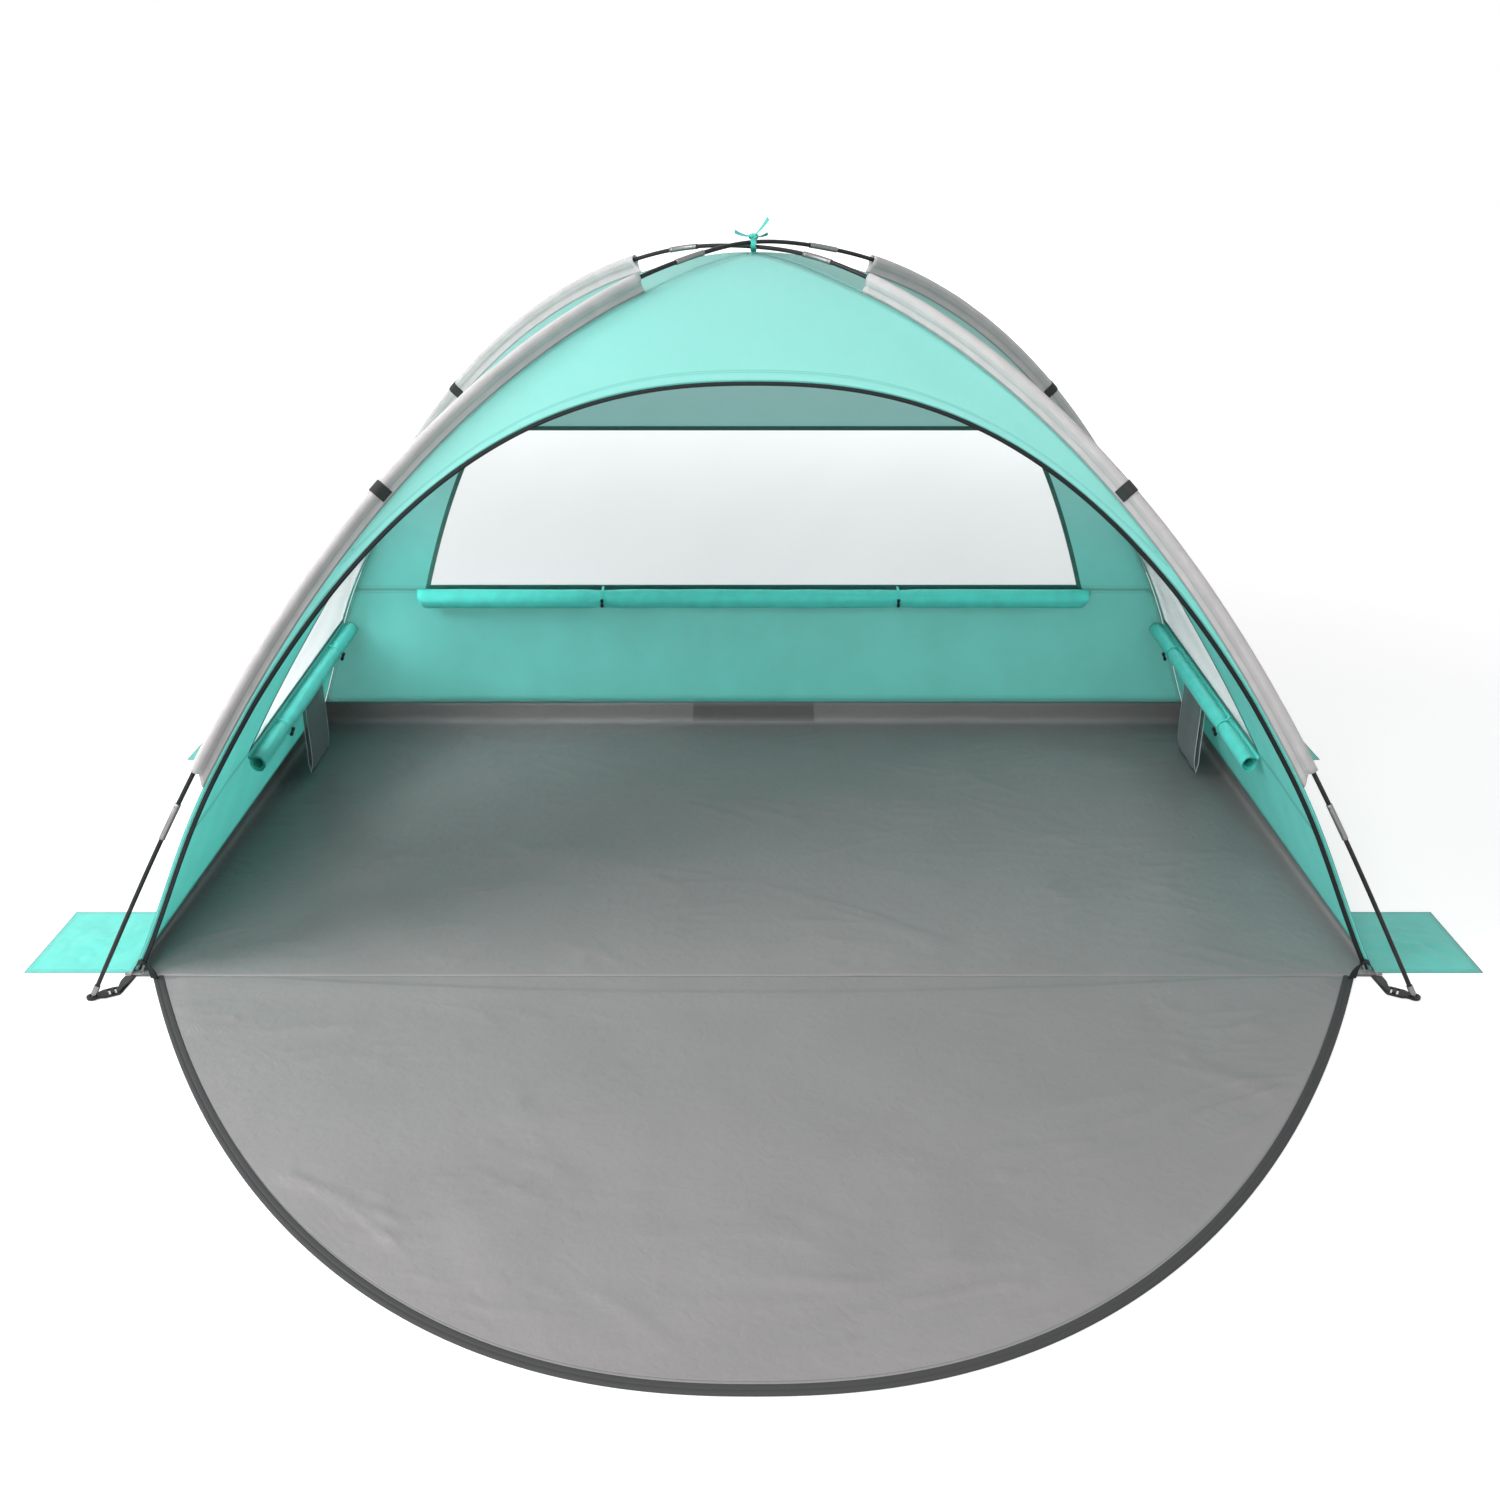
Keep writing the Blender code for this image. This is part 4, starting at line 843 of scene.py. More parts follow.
class TENT_OT_walls(bpy.types.Operator):
    """Build the side and back walls with their window openings"""

    bl_idname = "tent.walls"
    bl_label = "Walls"

    def execute(self, context):
        cloths = context.scene.tent_cloth
        for seed, panel in enumerate(("left", "right", "back")):
            top, sill = window_rows[panel]
            rows = spread(first_row, top - lap_share, 40) + [top] + spread(top, sill, 34)[1:]
            rows += spread(sill + lap_share, 1, 14)
            counts = (18, 2, 50, 2, 18)

            def column_share(column, q):
                level, first, second = opening(panel, q)
                lap = window_lap / row_length(panel, level)
                stops = [0, first - lap, first, second, second + lap, 1]
                for i, count in enumerate(counts):
                    if column <= count:
                        return mix(stops[i], stops[i + 1], column / count)
                    column -= count
                return 1

            def place(column, row):
                q = rows[row]
                u = column_share(column, q)
                wide = row_length(panel, q)
                # The pattern's height follows the front seam, which is shorter than a side panel
                down = q * seam_length
                point = row_point(panel, q, u)
                sides = min(u, 1 - u) * wide
                _, first, second = opening(panel, q)
                off = max((top - q) * seam_length, (q - sill) * seam_length, (first - u) * wide, (u - second) * wide)
                fade = edge_fade(sides, max(off, 0) + 0.02, (1 - q) * seam_length + 0.01, down)
                wave = ripple(point, 0.34, seed * 7) + 0.5 * ripple(point, 0.13, seed * 7 + 3)
                depth = cloths.pucker * fade * wave
                point = panel_point(panel, q, u, depth)
                seam = min(sides, (1 - q) * seam_length + 0.0005, max(off, 0) + 0.0004)
                if not first < u < second:
                    seam = min(seam, abs(q - sill - lap_share) * seam_length + 0.0004)
                beside = sides < 0.012 or abs(off) < 0.01 and top < q < sill
                return point, ((u - 0.5) * wide, -down), {"seam": seam, "run": down if beside else u * wide}

            open_columns = range(sum(counts[:2]), sum(counts[:3]))
            open_rows = range(rows.index(top), rows.index(sill))
            bm = cloth_grid(sum(counts) + 1, len(rows), place,
                            lambda column, row: column in open_columns and row in open_rows)
            look = "canopy" if panel == "back" else "side canopy"
            cloth_piece(panel + "_wall_cloth", bm, look, cloths.panel_thickness,
                        [panel + "_wall"], centre, held="stretched")
        return {"FINISHED"}


class TENT_OT_windows(bpy.types.Operator):
    """Build the window films with their bindings"""

    bl_idname = "tent.windows"
    bl_label = "Windows"

    def execute(self, context):
        for seed, panel in enumerate(("left", "right", "back")):
            top, sill = window_rows[panel]
            rows = [top - lap_share, top - lap_share / 6] + spread(top, sill, 30)
            rows += [sill + lap_share / 6, sill + lap_share]
            marks = [0, 0.85] + [1 + i / 40 for i in range(41)] + [2.15, 3]

            def place(column, row):
                q = rows[row]
                level, first, second = opening(panel, q)
                wide = row_length(panel, q)
                lap = window_lap / row_length(panel, level)
                mark = marks[column]
                if mark <= 1:
                    u = first - lap * (1 - mark)
                elif mark <= 2:
                    u = mix(first, second, mark - 1)
                else:
                    u = second + lap * (mark - 2)
                beside = min(u - first, second - u) * wide
                inside = min(beside, (q - top) * seam_length, (sill - q) * seam_length)
                point = row_point(panel, q, u)
                sag = 0.003 * smooth(0, 0.15, inside) * ripple(point, 0.3, 30 + seed)
                point = panel_point(panel, q, u, 0.0012 + sag)
                values = {"binding": 1.0 if inside < -0.0001 else 0.0, "seam": abs(inside)}
                # The pattern's height is too short here too, and its width skewed with the sides
                return point, (u * wide, -q * seam_length), values

            bm = cloth_grid(len(marks), len(rows), place)
            bound = bm.verts.layers.float["binding"]
            for face in bm.faces:
                face.material_index = int(any(vert[bound] for vert in face.verts))
            look = "window" if panel == "back" else "side window"
            piece = cloth_piece(panel + "_window_film", bm, look, 0.0007,
                                [panel + "_window"], centre, held="stretched")
            piece.data.materials.append(finishes()["binding"])
        return {"FINISHED"}


class TENT_OT_doorway(bpy.types.Operator):
    """Build the front panel over the doorway and the zip along its arch"""

    bl_idname = "tent.doorway"
    bl_label = "Doorway"

    def execute(self, context):
        cloths = context.scene.tent_cloth
        marks = spread(first_row, 1, 96)
        marks = [-q for q in reversed(marks)] + marks
        run = running([arch_flat(q, 0) for q in marks])
        across = 14

        def place_valance(column, row):
            q = marks[column]
            outer = row_point("front", abs(q), 1 if q > 0 else 0)
            flat_outer = Vector((outer.x, rise_at(abs(q) * front_bottom)))
            inner = arch_flat(q, 0)
            share = row / (across - 1)
            share = share * share * 0.6 + share * 0.4
            flat = inner.lerp(flat_outer, share)
            away, near = (flat - inner).length, (flat_outer - flat).length
            wave = ripple((flat.x, flat.y, 0), 0.30, 50) + 0.6 * ripple((flat.x, flat.y * 0.4, 0), 0.10, 53)
            depth = cloths.pucker * wave * smooth(0, 0.15, min(away + 0.01, near))
            return front_point(flat, depth), flat, {"seam": min(away, near + 0.016), "run": run[column]}

        cloth_piece("front_valance_cloth", cloth_grid(len(marks), across, place_valance), "valance",
                    cloths.panel_thickness, ["front_valance"], centre, held="stretched")
        section = [(0.0003, 0.0), (0.002, 0.0), (0.0045, 0.0), (0.0052, 0.0004), (0.0058, 0.0012)]
        section += [(0.0070, 0.0015), (0.0082, 0.0012), (0.0088, 0.0004), (0.0090, -0.0002)]

        def place_tape(column, row):
            inset, height = section[row]
            return front_point(arch_flat(marks[column], inset), -height), (run[column], inset), {"seam": inset}

        cloth_piece("arch_zip_tape_band", cloth_grid(len(marks), len(section), place_tape), "arch tape",
                    0.0014, ["arch_zip_tape"], centre)
        return {"FINISHED"}


class TENT_OT_floor(bpy.types.Operator):
    """Build the tray floor with its skirts, the corner patches and the ends of the zip"""

    bl_idname = "tent.floor"
    bl_label = "Floor"

    def execute(self, context):
        cloths = context.scene.tent_cloth
        half_x, half_y = floor_width / 2, floor_depth / 2
        rims = {}
        for side in (-1, 1):
            rims[side, -1] = seam_point(seam_at_height(front_skirt, -1), side, -1)
            rims[side, 1] = seam_point(seam_at_height(rear_skirt, 1), side, 1)
        rises = (1, 0.8, 0.6, 0.42, 0.28, 0.16, 0.07, 0)
        insets = (0.003, 0.006, 0.010, 0.014, 0.020)
        # The second number is half the width of the back sand pocket's shadow, painted on the back skirt; the
        # floor's columns are split at its edges.
        inner, back_pocket_shadow_half = 236, 0.1675
        half = [(-half_x, rise) for rise in rises] + [(-half_x + inset, 0) for inset in insets]
        even = spread(-half_x + 0.028, half_x - 0.028, inner)
        middle = [x for x in even if abs(abs(x) - back_pocket_shadow_half) > 0.002]
        middle += [way * (back_pocket_shadow_half + step) for way in (-1, 1) for step in (-0.0002, 0.0002)]
        across = half + [(x, 0) for x in sorted(middle)] + [(-x, rise) for x, rise in reversed(half)]
        deep = [(y, 0) for y in spread(-half_y - gap / 2, half_y - 0.028, 128)]
        deep += [(half_y - inset, 0) for inset in reversed(insets)] + [(half_y, rise) for rise in reversed(rises)]
        fillet = 0.026

        def rounded(fold, inward, up, inset, rise, radius):
            """A place on the cloth near its fold, eased over a small radius."""
            if max(inset, rise) >= radius:
                return fold + inward * inset + up * rise
            t = (radius - inset + rise) / (2 * radius)
            return fold + inward * radius * (1 - t) ** 2 + up * radius * t * t

        def place(column, row):
            (x, side_rise), (y, back_rise) = across[column], deep[row]
            side = -1 if x < 0 else 1
            from_side, from_back = half_x - abs(x), half_y - y
            share = (y + half_y) / floor_depth
            patch = 0.0
            seam = 0.03
            pattern = Vector((x, y))
            fold = Vector((side * half_x, y, 0))
            rim = mix(rims[side, -1], rims[side, 1], share)
            tall = (rim - fold).length
            radius = min(fillet * smooth(0, 0.05, from_back) * smooth(-0.02, 0.1, y + half_y), 0.6 * tall)
            point = rounded(fold, Vector((-side, 0, 0)), (rim - fold) / tall, from_side, side_rise * tall, radius)
            if side_rise:
                pattern.x += side * side_rise * tall
                seam = (1 - side_rise) * tall
                # The side skirts darken as they rise: painted shade.
                patch = 0.5 * smooth(0, 0.2, side_rise)
            elif from_back < 0.03:
                fold = Vector((x, half_y, 0))
                rim = mix(rims[-1, 1], rims[1, 1], (x + half_x) / floor_width)
                tall = (rim - fold).length
                radius = fillet * smooth(0, 0.05, from_side)
                point = rounded(fold, Vector((0, -1, 0)), (rim - fold) / tall, from_back, back_rise * tall, radius)
                pattern.y += back_rise * tall
                if back_rise:
                    seam = (1 - back_rise) * tall
                    # The painted shadow of the back sand pocket, which hangs behind the skirt.
                    patch = 1.0 if abs(x) < back_pocket_shadow_half else 0.0
                    point.y += 0.003 * math.sin(back_rise * math.pi) * ripple((x, 0, 0), 0.16, 61)
            if not side_rise and not back_rise:
                fade = smooth(0, 0.10, from_side) * smooth(0, 0.08, from_back)
                point.z += fade * creased(x, y, 60, cloths.floor_crease) * smooth(-0.02, 0.06, y + half_y)
            point.z += floor_lift
            return point, pattern, {"seam": seam, "run": x if back_rise else y, "binding": patch}

        def corner_open(column, row):
            return row >= len(deep) - len(rises) and max(across[column][1], across[column + 1][1]) > 0

        bm = cloth_grid(len(across), len(deep), place, corner_open)
        cloth_piece("floor_cloth", bm, "floor", 0.0012, ["floor"],
                    Vector((0, 0, -5)), held="laid")
        for side, side_name in ((-1, "left"), (1, "right")):
            self.make_patch(side, side_name, half_x, half_y)
            self.make_zip_end(side, side_name)
        return {"FINISHED"}

    def make_patch(self, side, side_name, half_x, half_y):
        """The folded strip that binds the floor's front corner where the webbing is sewn."""
        long, deep = 0.052, 0.026

        def place(column, row):
            a, b = column / 12, row / 8
            narrow = mix(0.46, 1, smooth(0.23, 0.33, a)) * mix(1, 0.55, smooth(0.35, 1, a))
            point = Vector((side * (half_x + 0.012 - long * a), -half_y - 0.0008 + deep * b * narrow, 0.0050))
            point.z += 0.0012 * math.sin(math.pi * b) + 0.0006 * ripple(point, 0.01, 62)
            return point, (long * a, deep * b), {"seam": min(a, 1 - a, b, 1 - b) * deep, "run": long * a}

        cloth_piece("front_" + side_name + "_corner_patch", cloth_grid(13, 9, place), "patch",
                    0.0008, (), Vector((0, 0, -1)), held="laid")

    def make_zip_end(self, side, side_name):
        """The loop in which the doorway's zip tape turns down to the mat's."""
        spots = ((1.186, -0.6775, 0.024), (1.180, -0.681, 0.034), (1.169, -0.685, 0.040),
                 (1.158, -0.688, 0.034), (1.151, -0.689, 0.020), (1.148, -0.690, 0.006))
        wides = ((0, 1, 0.2), (0.1, 1, 0.2), (0.4, 0.9, 0.1), (0.8, 0.6, 0), (1, 0.3, 0), (1, 0.1, 0))
        path = [Vector((side * x, y, z)) for x, y, z in spots]
        sides = [Vector((side * x, y, z)).normalized() for x, y, z in wides]
        strap("front_" + side_name + "_zip_end", path, sides, 0.015, 0.0014, "arch tape", (), 6)


def creased(x, y, seed, depth):
    """Height of laid cloth: broad waves and a few thin creases that run out from the corners."""
    height = max(ripple((x, y * 1.6, 0), 0.42, seed) + 0.4 * ripple((x * 1.4, y, 0), 0.16, seed + 4), 0) * depth
    for turn, size, high, start in ((0.35, 0.055, 0.55, 7), (-0.5, 0.07, 0.5, 11), (0.05, 0.04, 0.35, 13)):
        a, b = x * math.cos(turn) + y * math.sin(turn), y * math.cos(turn) - x * math.sin(turn)
        thin = max(1 - abs(ripple((a / 4.5, b, 0), size, seed + start)) * 6, 0)
        spot = smooth(0.02, 0.45, ripple((a, b * 1.5, 0), 0.30, seed + start + 3))
        height += high * depth * thin * thin * spot
    return height


def mat_edge(angle, out):
    """A point of the mat's edge in plan, moved out square to the edge."""
    def place(at):
        across = mat_half * abs(math.sin(at)) ** (2 / mat_power)
        return Vector((math.copysign(across, at), -mat_reach * math.cos(at) ** 2, 0))
    far = math.pi / 2
    along = place(min(angle + 0.01, far)) - place(max(angle - 0.01, -far))
    spot = place(angle) + Vector((along.y, -along.x, 0)).normalized() * out
    return Vector((spot.x, min(spot.y, 0) - floor_depth / 2 - gap, 0))


class TENT_OT_door_mat(bpy.types.Operator):
    """Build the door mat with the zip round its edge"""

    bl_idname = "tent.door_mat"
    bl_label = "Door mat"

    def execute(self, context):
        cloths = context.scene.tent_cloth
        count = 241
        angles = spread(-math.pi / 2, math.pi / 2, count)
        edges = [mat_edge(angle, 0) for angle in angles]
        run = running(edges)
        near = 0.16
        shares = spread(0, near, 41)[:-1] + [mix(near, 1, 1 - (1 - i / 72) ** 1.4) for i in range(73)]
        hinge_y = -floor_depth / 2 - gap

        def place_mat(column, row):
            start = Vector((edges[column].x * 0.999, hinge_y + gap / 2, 0))
            point = mix(start, edges[column], shares[row])
            away = (edges[column] - point).length
            fold_y = hinge_y - 0.072 * max(1 - (point.x / 1.13) ** 2, 0)
            behind = point.y - fold_y
            high = 0.0050 + 0.0060 * (point.x / 1.1) ** 2
            fold = high * math.exp(-((behind / (0.014 if behind > 0 else 0.050)) ** 2))
            fold *= smooth(0, 0.022, hinge_y - point.y)
            fade = smooth(0, 0.10, away + 0.004)
            crease = creased(point.x, point.y, 70, cloths.floor_crease * 1.1)
            point.z = floor_lift + fade * (fold + crease * smooth(0.02, 0.12, -behind))
            return point, (point.x, point.y), {"seam": away if row else 1.0, "run": run[column]}

        below = Vector((0, -1, -5))
        cloth_piece("door_mat_cloth", cloth_grid(count, len(shares), place_mat), "floor", 0.0012,
                    ["door_mat"], below, "door_mat_flap", "laid")
        section = [(-0.004, 0.0026), (-0.0036, 0.0036), (-0.002, 0.0041), (0.002, 0.0043), (0.0058, 0.0042)]
        section += [(0.0064, 0.0036), (0.0070, 0.0042), (0.0105, 0.0043), (0.0130, 0.0038), (0.0146, 0.0027)]
        section += [(0.0150, 0.0014)]

        def place_tape(column, row):
            out, height = section[row]
            spot = mat_edge(angles[column], out)
            spot.y, spot.z = min(spot.y, hinge_y - 0.0001), height
            return spot, (run[column], out), {"seam": abs(out - 0.004)}

        cloth_piece("mat_zip_band", cloth_grid(count, len(section), place_tape), "mat tape", 0.0013,
                    ["mat_zip_tape"], below, "door_mat_flap")
        return {"FINISHED"}


def roll_frame(panel, u):
    """Origin on the wall's inner face at the roll's height, with inward, up and along."""
    q = window_rows[panel][1] + lap_share + roll_below_sill / seam_length
    inward, up, along = panel_frame(panel, q, u)
    return panel_point(panel, q, u, cloth + roll_seat), inward, up, along


class TENT_OT_window_rolls(bpy.types.Operator):
    """Build the rolled-up window flaps, their ties and the toggles' finish"""

    bl_idname = "tent.window_rolls"
    bl_label = "Window rolls"

    def execute(self, context):
        turns = context.scene.tent_cloth.roll_turns
        for seed, panel in enumerate(("left", "right", "back")):
            first, second = window_sills[panel]
            wide = row_length(panel, window_rows[panel][1])
            low, high = first - 0.022 / wide, second + 0.022 / wide
            spots = [mix(first, second, share) for share in tie_shares[panel]]
            full = roll_radius[panel]
            columns, section = 90, 70
            tail, layer, tucked_at = 0.12, 0.0027, math.radians(163)

            def place(column, row):
                share = row / (section - 1)
                cut = (0.032 if panel == "back" else 0.010) * smooth(0.20, 0.40, share) / wide
                u = mix(low + cut, high - cut, column / (columns - 1))
                origin, inward, up, along = roll_frame(panel, u)
                near = min(abs(u - spot) for spot in spots) * wide
                end = min(u - low, high - u) * wide
                pinch = 1 - smooth(0.004, 0.045, near)
                radius = full - 0.0006 - (roll_squeeze + 0.0006) * pinch
                radius *= 1 - 0.05 * (1 - pinch) * (0.5 + ripple((u * wide, seed, 0), 0.09, 80))
                middle = full + roll_off_wall
                if share < tail:
                    t = share / tail
                    a = mix(0.0004, middle - radius * 0.98, smooth(0.2, 1, t))
                    b = mix(roll_below_sill - 0.001, 0.30 * radius, t)
                else:
                    t = (share - tail) / (1 - tail)
                    angle = tucked_at - t * turns * 2 * math.pi
                    fold = 0.0005 * math.sin(3 * angle + 9 * u * wide) * (1 - 0.6 * pinch)
                    fold += 0.0009 * pinch * math.sin(7 * angle)
                    fold -= 0.0022 * math.exp(-(((math.degrees(angle) + 18) / 9) ** 2)) * (1 - pinch)
                    fold -= 0.0016 * math.exp(-(((math.degrees(angle) - 62) / 8) ** 2))
                    around = radius - t * turns * layer + fold * (1 - t)
                    loose = 1 - 0.02 * smooth(0, 0.02, 0.02 - end)
                    a = middle + around * math.cos(angle) * loose
                    b = around * math.sin(angle)
                point = origin + inward * a + up * b
                slide = 0.004 * ripple((share * 3, u * 2, seed), 0.6, 84) * (1 - smooth(0, 0.05, end))
                point += along * slide
                flat = share * (turns * 2 * math.pi * full * 0.8 + 0.02)
                return point, (u * wide, -flat), {"seam": end, "run": flat}

            cloth_piece(panel + "_window_flap", cloth_grid(columns, section, place), "flap", 0.0009,
                        [panel + "_window_roll"], held="gathered")
            for name, spot in zip(("first", "second"), spots):
                self.make_tie(panel + "_" + name, roll_frame(panel, spot), full)
        dress("toggle", "plastic")
        return {"FINISHED"}

    def make_tie(self, name, around, full):
        """The strip from the wall round the roll and back to the wall."""
        origin, inward, up, along = around
        middle = full + roll_off_wall
        reach = full - roll_squeeze + gap + tie_thickness / 2
        path = [origin + inward * (cloth + gap) + up * reach]
        for i in range(13):
            angle = math.pi / 2 - math.pi * i / 12
            path.append(origin + inward * (middle + reach * math.cos(angle)) + up * (reach * math.sin(angle)))
        path.append(origin + inward * (tie_thickness / 2 + 0.0003) - up * reach)

        def gather(share, across):
            return along * (0.0006 * math.sin(share * 21)) + inward * (0.0003 * math.sin(across * 12))

        strap(name + "_tie_strip", path, [along] * len(path), 0.0066, 0.0010, "tie",
              [name + "_roll_tie"], 2, gather)


def dress(ending, look):
    """Give the frame's nodes whose names end so their finish."""
    for name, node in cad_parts.items():
        if name.endswith(ending):
            node.data.materials.clear()
            node.data.materials.append(finishes()[look])


class TENT_OT_pockets(bpy.types.Operator):
    """Build the inner pockets and the sand pockets"""

    bl_idname = "tent.pockets"
    bl_label = "Pockets"

    def execute(self, context):
        for panel in ("left", "right"):
            self.make_inner(panel)
        half_x, half_y = floor_width / 2, floor_depth / 2
        far = half_y - 0.014
        for side, end, name in corners:
            self.make_sand_pocket(name + "_sand_pocket", Vector((side * half_x, end * far, 0)), Vector((0, -end, 0)),
                                  Vector((side, 0, 0)), sand_pocket_width, sand_pocket_reach[end])
        start = Vector((-back_pocket_width / 2, half_y, 0))
        self.make_sand_pocket("back_sand_pocket", start, Vector((1, 0, 0)), Vector((0, 1, 0)),
                              back_pocket_width, back_pocket_reach)
        return {"FINISHED"}

    def make_inner(self, panel):
        """A net bag that hangs from the wall: the grid runs down its back and up its front."""
        q, u = 0.902, 0.755
        along = panel_frame(panel, q, u)[2]
        down = Vector((0, 0, -1))
        inward = along.cross(down)
        if inward.x * row_point(panel, q, u).x > 0:
            inward = -inward
        inward.z = 0
        inward.normalize()
        top = panel_point(panel, q, u, cloth + 0.0005)
        width, height, deep = 0.168, 0.208, 0.012
        columns, rows = 41, 49

        def place(column, row):
            share, s = column / (columns - 1), row / (rows - 1)
            back = s < 0.5
            level = (s if back else 1 - s) * 2
            curve = smooth(0, 0.08, abs(s - 0.5))
            thick = deep / 2 + (-deep / 2 + 0.0006 if back else deep / 2 - 0.0008) * curve
            fold = (1 - math.cos(4 * math.pi * share)) / 2
            thick += 0.0025 * level * fold + 0.002 * ripple((share * 3, level * 2, 0), 0.9, 90)
            dip = 0.006 * math.sin(2 * math.pi * share + 0.6) * (1 - level) * (0 if back else 1)
            spot = top + along * mix(-width / 2, width / 2, share) + inward * max(thick, 0.0004)
            spot += down * (height * level * 0.996 + max(dip, 0))
            seam = min(share * width, (1 - share) * width, level * height + (0.02 if back else 0))
            return spot, (share * width, (s * 2) * height), {"seam": seam, "run": share * width}

        cloth_piece(panel + "_inner_pocket_net", cloth_grid(columns, rows, place), "pocket", 0.0006,
                    [panel + "_inner_pocket"], held="hung")

    def make_sand_pocket(self, name, start, along, outward, length_along, reach):
        """A flat bag: the grid runs out along its under side and back along its top."""
        columns, rows = 97, 57
        bulge, edge, lift = 0.0060, 0.0016, 0.0004

        def place(column, row):
            s, v = column / (columns - 1), row / (rows - 1)
            under = s < 0.5
            u = s * 2 if under else 2 - s * 2
            from_ends = min(v, 1 - v) * length_along
            rounding = smooth(0, 0.012, min(u, 1 - u) * reach) * smooth(0, 0.008, from_ends)
            spot = start + outward * (gap + u * reach) + along * v * length_along
            high = lift
            if not under:
                puff = math.sin(math.pi * u) * math.sin(math.pi * v)
                spot_across = u * reach * 1.3 + v * 0.05
                crease = abs(ripple((spot_across, v * length_along, 0), 0.075, 100 + len(name)))
                crease += 0.5 * abs(ripple((u * reach, v * length_along, 0), 0.03, 104))
                high += edge * (0.35 + 0.65 * rounding) + bulge * puff * (0.25 + 1.5 * crease)
            spot = spot + Vector((0, 0, high))
            seam = min(u * reach + 0.001, (1 - u) * reach, v * length_along, (1 - v) * length_along)
            if u < 0.02 and not under:
                seam = 0.001
            run = v * length_along if min(u, 1 - u) * reach < 0.02 else u * reach
            return spot, (s * 2 * reach, v * length_along), {"seam": seam, "run": run}

        middle = start + outward * reach / 2 + along * length_along / 2 + Vector((0, 0, 0.0009))
        cloth_piece(name + "_cloth", cloth_grid(columns, rows, place), "sand pocket", 0.0004,
                    [name], middle, name + "_flap", "folded")


def sleeve_spot(p, side, end, inward_by, across_by):
    _, inward, across = pole_frame(p, side, end)
    return pole_point(p, side, end) + inward * inward_by + across * across_by


def sleeve_section(fin_end, radius, pinch):
    """Half of the sleeve's section, from the fin's end up round the tunnel."""
    spots = [(mix(fin_end, 0.0225, i / 3), 0.0007) for i in range(4)]
    spots += [(0.0190, 0.0012 + pinch), (0.0158, 0.0023 + pinch), (0.0128, 0.0040), (0.0100, 0.0058)]
    for i in range(12):
        angle = math.radians(mix(50, 180, i / 11))
        spots.append((radius * math.cos(angle), radius * math.sin(angle)))
    return spots


class TENT_OT_sleeves(bpy.types.Operator):
    """Build the pole sleeves and the bands round them"""

    bl_idname = "tent.sleeves"
    bl_label = "Sleeves"

    def execute(self, context):
        for side, end, name in corners:
            self.make_sleeve(name, side, end)
            self.make_band(name, side, end)
        return {"FINISHED"}

    def make_sleeve(self, name, side, end):
        """A tunnel round the pole with a fin of two layers down to the seam."""
        bottom = front_bottom if end < 0 else rear_bottom
        low, high = (q * bottom for q in sleeve_rows)
        rows = 110
        places = spread(low, high, rows)
        run = running([pole_point(p, side, end) for p in places])
        seed = 110 + side * 3 + end
        half = len(sleeve_section(0.03, 0.009, 0))
        widths = running(sleeve_section(seam_drop, 0.009, 0), math.dist)
        total = 2 * widths[-1]

        def place(column, row):
            p = places[row]
            tangent, inward, _ = pole_frame(p, side, end)
            fin_end = (seam_point(p, side, end) - pole_point(p, side, end)).dot(inward) + 0.0008
            i = column if column < half else 2 * half - 2 - column
            sign = -1 if column < half else 1
            slack = ripple((run[row], 0, 0), 0.06, seed)
            pinch = 0.0003 * ripple((run[row], 0, 0), 0.03, seed + 5)
            a, b = sleeve_section(fin_end, 0.0090 + 0.0005 * slack, pinch)[i]
            sway = 0.0014 * ripple((run[row], 0.3, 0), 0.09, seed + 9)
            b = sign * b + sway * smooth(0.008, 0.018, a) * smooth(0, 0.01, fin_end - a)
            lean = smooth(0.006, 0.029, a)
            lead = -0.026 * (1 - lean) * (1 - smooth(0, 0.10, run[-1] - run[row]))
            lead -= 0.008 * lean * (1 - smooth(0, 0.04, run[row]))
            point = sleeve_spot(p, side, end, a, b) + tangent * lead
            width = widths[i] if column < half else total - widths[i]
            seam = width if column < half else total - width
            return point, (run[row], width), {"seam": seam, "run": run[row]}

        cloth_piece(name + "_sleeve_cloth", cloth_grid(2 * half - 1, rows, place), "sleeve", 0.0006,
                    [name + "_sleeve"], held="stretched")

    def make_band(self, name, side, end):
        """The wrap round a sleeve, at the place of its solid."""
        box_low, box_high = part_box(name + "_sleeve_band")
        middle = (box_low + box_high) / 2
        p = min(spread(0.3, 0.7, 401), key=lambda s: (sleeve_spot(s, side, end, 0.007, 0) - middle).length)
        arm = (pole_point(p + 0.01, side, end) - pole_point(p - 0.01, side, end)).length
        width = 0.0246
        step = width / arm * 0.02
        section = [(0.0238, 0.0018), (0.0194, 0.0024), (0.0162, 0.0036), (0.0132, 0.0053), (0.0104, 0.0070)]
        turns = [math.radians(angle) for angle in range(54, 181, 14)]
        section += [(0.0102 * math.cos(turn), 0.0102 * math.sin(turn)) for turn in turns]
        section = [(a, -b) for a, b in section] + [(a, b) for a, b in reversed(section)]
        rows = 13
        widths = running(section, math.dist)

        def place(column, row):
            share = row / (rows - 1)
            spot = sleeve_spot(p + step * (share - 0.5), side, end, *section[column])
            return spot, (widths[column], share * width), {"seam": 1.0}

        cloth_piece(name + "_band_strap", cloth_grid(len(section), rows, place), "band", 0.0010,
                    [name + "_sleeve_band"])


